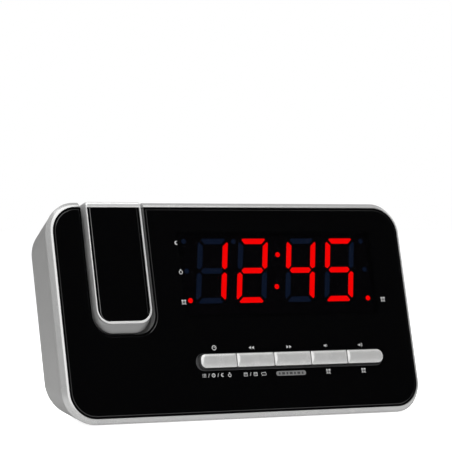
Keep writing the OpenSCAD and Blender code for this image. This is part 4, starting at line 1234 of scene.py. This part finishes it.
        # painted highlight: only the step's faces on the left side, which face the light, get the lighter
        # line finish
        for skin in bm.faces:
            at = skin.calc_center_median()
            if len(skin.verts) == 4 and front + 0.01 < at.y < front + 0.14 and at.x < self.shell.slot_mid - 9:
                skin.material_index = 1
        bench.add("projector_glass", bm, Slot.PANEL_BLACK, ["projector_window"], "projector", angle=25,
                  finishes=(Slot.PANEL_BLACK, Special.INSERT_LINE))

    def build(self, bench: Bench) -> None:
        """Builds the projector's pieces."""
        self.frame(bench)
        self.window(bench)
        self.rear(bench)


@dataclass
class Stencil:
    """Flat shapes on the panel, drawn round a pen's place and gathered into one mesh.

    Args:
        depth: depth of the print's face.
        thickness: thickness of the print.
        pen: X and Z that shapes are placed from.
    """

    depth: float = -0.02
    thickness: float = 0.03
    pen: Pair = (0.0, 0.0)
    bm: Mesh = field(default_factory=bmesh.new)

    def spot(self, x: float, z: float, turn: float = 0.0, size: Pair = (1, 1)) -> Matrix:
        """Returns a shape's place, turned by degrees and scaled."""
        return (Matrix.Translation((self.pen[0] + x, self.depth, self.pen[1] + z))
                @ Matrix.Rotation(math.radians(90), 4, "X") @ Matrix.Rotation(math.radians(turn), 4, "Z")
                @ Matrix.Diagonal((*size, 1, 1)))

    def disc(self, x: float, z: float, r: float, sides: int = 6, turn: float = 0.0,
             size: Pair = (1, 1)) -> None:
        """Adds a disc, or a polygon of few sides."""
        bmesh.ops.create_circle(self.bm, cap_ends=True, segments=sides, radius=r,
                                matrix=self.spot(x, z, turn, size))

    def arrow(self, x: float, z: float, r: float, way: int) -> None:
        """Adds a triangle that points right, with way 1, or left, with way -1."""
        self.disc(x, z, r, 3, -90 if way > 0 else 90)

    def bar(self, x: float, z: float, w: float, h: float, turn: float = 0.0) -> None:
        """Adds a bar."""
        bmesh.ops.create_grid(self.bm, x_segments=1, y_segments=1, size=0.5,
                              matrix=self.spot(x, z, turn, (w, h)))

    def arc(self, x: float, z: float, r: float, w: float, start: float = 0, sweep: float = 360) -> None:
        """Adds a round stroke of mean radius r and width w, from an angle over a sweep in degrees."""
        place = self.spot(x, z)
        ends = [self.bm.verts.new(place @ Matrix.Rotation(math.radians(start), 4, "Z") @ Vector((q, 0, 0)))
                for q in (r - w / 2, r + w / 2)]
        stroke = [*ends, self.bm.edges.new(ends)]
        bmesh.ops.spin(self.bm, geom=stroke, cent=place.translation, axis=(0, -1, 0),
                       angle=math.radians(sweep), steps=max(6, int(sweep / 15)), use_merge=sweep >= 360)

    def print_on(self, bench: Bench, name: str, finish: Special) -> None:
        """Gives the shapes their thickness and adds them as one piece."""
        bmesh.ops.remove_doubles(self.bm, verts=self.bm.verts, dist=1e-5)
        mend(self.bm)
        made = bmesh.ops.extrude_face_region(self.bm, geom=list(self.bm.faces))["geom"]
        back = [g for g in made if isinstance(g, bmesh.types.BMVert)]
        bmesh.ops.translate(self.bm, vec=(0, self.thickness, 0), verts=back)
        mend(self.bm)
        bench.add(name, self.bm, Slot.KEY_SILVER, finishes=(finish,))


@dataclass
class Icons(Stencil):
    """The small generic icons round the display and the keys."""

    line: float = 0.3
    pill_box: tuple[float, float, float, float] = (14.6, 30.6, -31.75, -29.6)
    pill_r: float = 1.05
    marks: int = 7
    marks_at: Pair = (16.4, -30.68)
    marks_pitch: float = 2.05

    def alarm_bell(self, r: float = 0.8) -> None:
        """Draws a small alarm clock with two bells and two feet."""
        self.arc(0, 0, r, self.line)
        self.bar(0, 0.15, self.line * 0.7, 0.5)
        for side in (-1, 1):
            self.disc(side * r * 1.05, r * 1.05, 0.36, 12, side * -40, (1.2, 0.8))
            self.bar(side * r * 1.05, -r * 1.05, 0.3, 0.7, side * 45)

    def dial(self, r: float = 1.0) -> None:
        """Draws a plain dial with two hands."""
        self.arc(0, 0, r, self.line * 1.15)
        self.bar(0, r * 0.25, self.line * 0.8, r * 0.6)
        self.bar(r * 0.22, 0, r * 0.5, self.line * 0.8)

    def skip(self, way: int) -> None:
        """Draws two arrowheads that point right, with way 1, or left, with way -1."""
        for k in (0, 1):
            self.arrow(way * (k * 1.5 - 0.75), 0, 0.84, way)

    def horn(self, waves: int) -> None:
        """Draws a loudspeaker with a number of sound waves."""
        self.bar(-1.0, 0, 0.5, 0.65)
        self.arrow(-0.55, 0, 0.78, -1)
        for k in range(waves):
            self.arc(-0.4, 0, 0.85 + 0.5 * k, self.line * 0.75, -40, 80)

    def moon(self, r: float = 0.8) -> None:
        """Draws a crescent from two arcs."""
        self.arc(0, 0, r, 0.34, 60, 240)
        self.arc(r * 0.28, r * 0.06, r * 0.86, 0.28, 80, 195)

    def timer(self, r: float = 0.8) -> None:
        """Draws a stopwatch."""
        self.arc(0, 0, r, self.line)
        self.bar(0, r + 0.25, self.line * 0.8, 0.4)
        self.bar(0, r + 0.5, 0.7, 0.24)

    def loop(self, half: float = 1.2, up: float = 0.6) -> None:
        """Draws a flat loop with two arrowheads."""
        w = self.line * 0.8
        for way in (-1, 1):
            self.bar(-way * 0.25, way * up, 2 * half - 0.9, w)
            self.bar(way * half, -way * 0.2, w, 0.75)
            self.arrow(way * (half - 0.35), way * up, 0.38, way)

    def sheet(self) -> None:
        """Draws a calendar leaf."""
        w = self.line * 0.75
        for z in (-0.75, 0.75, 0.4):
            self.bar(0, z, 1.8, w)
        for x in (-0.85, 0.85):
            self.bar(x, 0, w, 1.5)
        for x in (-0.3, 0.3):
            self.disc(x, -0.2, 0.16)

    def list_marks(self) -> None:
        """Draws three lines of a list."""
        for k in (-1, 0, 1):
            self.bar(0.3, 0.6 * k, 1.4, 0.22)
            self.disc(-0.85, 0.6 * k, 0.16)

    def slash(self) -> None:
        """Draws a slanted divider."""
        self.bar(0, 0, 0.24, 1.8, -18)

    def build(self, bench: Bench) -> None:
        """Prints every icon on the panel, and the pill with its marks."""
        # icon, X, Z and its size, way or count where it has one
        plan = ((self.moon, -29.65, 31.5), (self.timer, -29.1, 17.7), (self.alarm_bell, -29.3, 3.7),
                (self.alarm_bell, 78.2, 3.4), (self.dial, -16.5, -17.8), (self.skip, 3.2, -18.2, -1),
                (self.skip, 22.9, -18.3, 1), (self.horn, 43.3, -18.2, 1), (self.horn, 62.2, -18.3, 2),
                (self.list_marks, -23.2, -30.5), (self.dial, -18.4, -30.5, 0.75),
                (self.moon, -13.6, -30.5, 0.75), (self.timer, -10.0, -30.7, 0.7), (self.sheet, -1.6, -30.6),
                (self.sheet, 3.6, -30.6), (self.loop, 8.0, -30.6), (self.slash, -20.8, -30.5),
                (self.slash, -16.0, -30.5), (self.slash, 1.0, -30.5), (self.alarm_bell, 42.8, -30.5),
                (self.alarm_bell, 62.2, -30.6))
        for draw, x, z, *size in plan:
            self.pen = (x, z)
            draw(*size)
        pill = [Outline(y, *self.pill_box, self.pill_r, self.pill_r) for y in (self.depth, 0.01)]
        bench.add("pill_mark", loft(pill, steps=8), Slot.KEY_SILVER, finishes=(Special.PRINT_PILL,))
        self.print_on(bench, "panel_icons", Special.PRINT_GREY)
        marks = Stencil(self.depth - 0.02, pen=self.marks_at)
        for k in range(self.marks):
            marks.bar(self.marks_pitch * k, 0, 1.5 if k % 2 else 0.9, 1.1)
        marks.print_on(bench, "pill_marks", Special.PRINT_DARK)


@dataclass
class Feet:
    """Four rubber pads."""

    shell: Shell
    radius: float = 5.5
    across: float = 60.0
    round: float = 0.5
    front_in: float = 2.0
    front_height: float = 2.3
    back_in: float = 10.0
    back_extra: float = 0.7

    def build(self, bench: Bench, back_y: float) -> None:
        """Builds the pads in two rows between the panel and a back wall's distance."""
        front = (bench.face.origin.y / MM + self.front_in, self.front_height)
        back = (back_y - self.back_in, self.shell.under_clear + self.back_extra)
        bm = bmesh.new()
        for side in (-1, 1):
            for y, top in (front, back):
                place = Matrix.Translation((side * self.across, y, top / 2))
                ring = set(bmesh.ops.create_cone(bm, cap_ends=True, segments=40, radius1=self.radius,
                                                 radius2=self.radius, depth=top, matrix=place)["verts"])
                low = [e for e in bm.edges if all(v in ring and v.co.z < 0.01 for v in e.verts)]
                round_off(bm, low, self.round, 3, "EDGES")
        bmesh.ops.transform(bm, matrix=bench.face.from_room(), verts=bm.verts)
        bench.add("foot_pads", bm, Slot.RUBBER_BLACK, ["rubber_feet"])


# ---- the studio


@dataclass
class Studio:
    """The camera, the floor, the lamps and the surroundings.

    Each lamp has a name, an azimuth (0 in front, positive to the right), an elevation, a distance, a size and
    a power.
    """

    yaw: float = 29.1
    lens: float = 189.67
    camera_at: Colour = (-0.5400, -0.9707, 0.0884)
    floor_size: float = 30.0
    floor_bounce: float = 0.1
    floor_white: float = 0.9
    sky: float = 0.34
    dark_toward: Colour = (0.486, -0.773, 0.407)
    dark_spread: Pair = (0.72, 0.93)
    lamp_aim: Colour = (0, 0, 0.05)
    lamps: tuple[tuple[str, float, float, float, Pair, float], ...] = (
        ("top_soft", -35, 76, 1.1, (1.5, 1.1), 9.5), ("front_soft", -21, 20, 1.5, (1.2, 1.6), 9),
        ("right_soft", 100, 25, 1.3, (0.5, 0.9), 1.6))

    def hang(self, name: str, data: Any) -> Piece:
        """Returns a new object for a camera, a lamp or a mesh."""
        made = bpy.data.objects.new(name, data)
        bpy.context.scene.collection.objects.link(made)
        return made

    def camera(self) -> None:
        """Sets the camera up."""
        data = fill(bpy.data.cameras.new("camera"), lens=self.lens, sensor_width=36, clip_end=200)
        turn = (math.radians(90), 0, math.radians(-self.yaw))
        eye = fill(self.hang("camera", data), location=self.camera_at, rotation_euler=turn)
        bpy.context.scene.camera = eye

    def floor(self) -> None:
        """Lays the pale floor."""
        bm = bmesh.new()
        bmesh.ops.create_grid(bm, x_segments=1, y_segments=1, size=self.floor_size)
        mesh = bpy.data.meshes.new("floor")
        bm.to_mesh(mesh)
        bm.free()
        floor = self.hang("floor", mesh)
        tree = Tree(bpy.data.materials.new("floor_paper"), "Principled BSDF")
        seen = tree.node("LightPath", {}, "Is Camera Ray")
        glow = tree.tint(seen, grey(self.floor_bounce), grey(self.floor_white))
        tree.set(Base_Color=tree.tint(tree.noise(3), grey(0.76), grey(0.8)), Roughness=0.9,
                 Specular_IOR_Level=0.0, Emission_Color=glow, Emission_Strength=1.0)
        mesh.materials.append(tree.owner)

    def light(self) -> None:
        """Hangs the soft lamps round the clock."""
        for name, azimuth, elevation, distance, size, power in self.lamps:
            data = fill(bpy.data.lights.new(name, "AREA"), shape="RECTANGLE", size=size[0], size_y=size[1],
                        energy=power)
            a, e = math.radians(azimuth), math.radians(elevation)
            off = Vector((math.sin(a) * math.cos(e), -math.cos(a) * math.cos(e), math.sin(e)))
            fill(self.hang(name, data), location=Vector(self.lamp_aim) + off * distance,
                 rotation_euler=off.to_track_quat("Z", "Y").to_euler())

    def surroundings(self) -> None:
        """Sets a white backdrop and a soft room with one dark side, which the glossy panel mirrors."""
        world = bpy.data.worlds.new("room")
        bpy.context.scene.world = world
        tree = Tree(world, "Background")
        where = tree.node("TexCoord", {}, "Generated")
        toward = tree.node("VectorMath", {0: where, 1: self.dark_toward}, "Value", operation="DOT_PRODUCT")
        seen = tree.node("LightPath", {}, "Is Camera Ray")
        glow = tree.spread(toward, self.sky, 0.0, *self.dark_spread)
        tree.set(Color=grey(1.0), Strength=tree.node("Mix", {0: seen, 2: glow, 3: 1.0}, data_type="FLOAT"))

    def build(self) -> None:
        """Sets the whole studio up."""
        self.camera()
        self.floor()
        self.surroundings()
        self.light()
        bpy.context.scene.view_settings.view_transform = "Standard"


def mix_finishes(bench: Bench) -> None:
    """Builds every slot's finish and the special ones."""
    window_low, window_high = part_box("display_block")
    half = (window_high - window_low) / 2
    border = 0.002
    finishes = {
        Slot.SILVER_BODY: Paint((0.39, 0.388, 0.383), 0.35, 0.42),
        Slot.SILVER_GLOSS: Paint((0.6, 0.6, 0.596), 0.5, 0.26, flake=0.02, peel=0.000002),
        Slot.PANEL_BLACK: Acrylic((0.0018, 0.0018, 0.002), (window_low + window_high) / 2, half.x - border,
                                  half.z - border),
        Slot.BAY_SILVER: Paint((0.42, 0.42, 0.415), 0.5, 0.38),
        Slot.TRIM_GREY: Moulded((0.08, 0.08, 0.082), 0.2, depth=0.000004),
        Slot.BLACK_PLASTIC: Moulded((0.012, 0.012, 0.013), 0.5),
        Slot.LED_RED: Glow((0.3, 0.0, 0.0), (1.0, 0.0, 0.0), 2.4),
        # painted light: the unlit segments glow faint navy though they give no light
        Slot.LED_DARK: Glow((0.003, 0.006, 0.016), (0.0035, 0.0085, 0.0245), 1.6),
        Slot.METAL_STEEL: Metal(grey(0.62)),
        Slot.METAL_GOLD: Metal((0.8, 0.6, 0.28), 0.22),
        Slot.BOARD_GREEN: Board((0.01, 0.09, 0.035)),
        Slot.CHIP_BLACK: Moulded(grey(0.02), 0.55),
        Slot.IVORY_PLASTIC: Moulded((0.74, 0.71, 0.6), 0.45),
        Slot.RUBBER_BLACK: Moulded(grey(0.02), 0.8, grain=3500, depth=0.00004, specular=0.3),
        Slot.KEY_SILVER: Paint((0.68, 0.68, 0.672), 0.3, 0.27, flake=0.03),
        Slot.LEAD_BLACK: Moulded(grey(0.015), 0.45),
        Slot.LEAD_RED: Moulded((0.4, 0.02, 0.02), 0.45),
        Slot.CONE_PAPER: Moulded(grey(0.03), 0.9, grain=1500, depth=0.0001),
        Slot.ALUMINIUM: Metal((0.75, 0.75, 0.76), 0.35),
        Slot.CLEAR_GLASS: Glass((0.85, 0.92, 1.0), 0.25),
        Slot.SLIDE_GLASS: Glass((0.2, 0.24, 0.28), 0.75),
        Slot.LAMP_EPOXY: Glass((0.9, 0.8, 0.5), 0.7),
        Slot.COVER_SILVER: Paint((0.44, 0.445, 0.45), 0.35, 0.48, flake=0.06, peel=0.00001),
        Slot.CAPACITOR_BLUE: Moulded((0.015, 0.03, 0.14), 0.3),
        Slot.RIBBON_GREY: Moulded((0.45, 0.45, 0.46), 0.5),
        Special.DISPLAY_MASK: Moulded((0.004, 0.003, 0.005), 0.9, specular=0.05),
        # painted highlight: the panel's edge lines are lighter and rougher than the black gloss, standing in
        # for the bevel's highlight
        Special.EDGE_LINE: Paint(grey(0.022), 0.0, 0.22),
        Special.SLOT_WALL: Paint(grey(0.3), 0.2, 0.3),
        Special.KEY_WALL: Paint(grey(0.1), 0.2, 0.4),
        # painted highlight and shade: the projector frame's lip is a brighter copy of the frame's silver, and
        # its flank a rougher copy darkened below 44 mm
        Special.BRIGHT_LIP: Paint((0.86, 0.86, 0.855), 0.35, 0.24, flake=0.02, peel=0.000002),
        Special.SATIN_FLANK: Paint((0.62, 0.62, 0.617), 0.4, 0.36, flake=0.03, painted_shade_below=(0.044, 0.052, 0.5)),
        # painted highlight on the insert's left step edge
        Special.INSERT_LINE: Paint(grey(0.09), 0.0, 0.3),
        Special.PRINT_GREY: Moulded(grey(0.6), 0.6, depth=0.000001),
        Special.PRINT_DARK: Moulded(grey(0.03), 0.6, depth=0.000001),
        Special.PRINT_PILL: Moulded(grey(0.2), 0.6, depth=0.000001),
    }
    for name, finish in finishes.items():
        bench.materials[name] = finish.build(name.value)


def dress_frame(bench: Bench, frame: dict[str, Any]) -> None:
    """Gives each CAD node the finish of its slot, and the display's block a dark mask."""
    used = {part["node"]: part["material_slot"] for part in frame["record"]["subparts"]}
    used["display_block"] = Special.DISPLAY_MASK
    for node, finish in used.items():
        materials = frame["nodes"][node].data.materials
        materials.clear()
        materials.append(bench.materials[finish])


def find_face(frame: dict[str, Any], shell: Shell) -> Face:
    """Returns the face's frame, worked out from the joints."""
    joints = {j["name"]: j for j in frame["joints"]}
    inward = Vector(joints["clock_key_press"]["axis"])
    lean = math.atan2(-inward.z, inward.y)
    upward = Vector((0, math.sin(lean), math.cos(lean)))
    pivot = Vector((shell.slot_mid, shell.hinge_d, shell.half_h - shell.hinge_drop)) * MM
    hinge = Vector(joints["projector_swing"]["pos_m"])
    return Face(hinge - Vector((pivot.x, 0, 0)) - inward * pivot.y - upward * pivot.z, lean)


def main() -> None:
    """Builds the clock."""
    logging.basicConfig(level=logging.INFO, format="%(name)s: %(message)s")
    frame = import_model()
    shell = Shell()
    face = find_face(frame, shell)
    shell.stand(face)
    bench = Bench(face)
    Studio().build()
    mix_finishes(bench)
    dress_frame(bench, frame)
    back_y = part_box("back_cover")[1].y / MM
    case = Case(shell)
    case.rim(bench)
    case.housing(bench)
    case.cover(bench, back_y)
    keys = KeyRow(shell)
    FrontPanel(shell).build(bench, keys)
    keys.build(bench)
    Projector(shell).build(bench)
    Icons().build(bench)
    Feet(shell).build(bench, back_y)


if __name__ == "__main__":
    main()
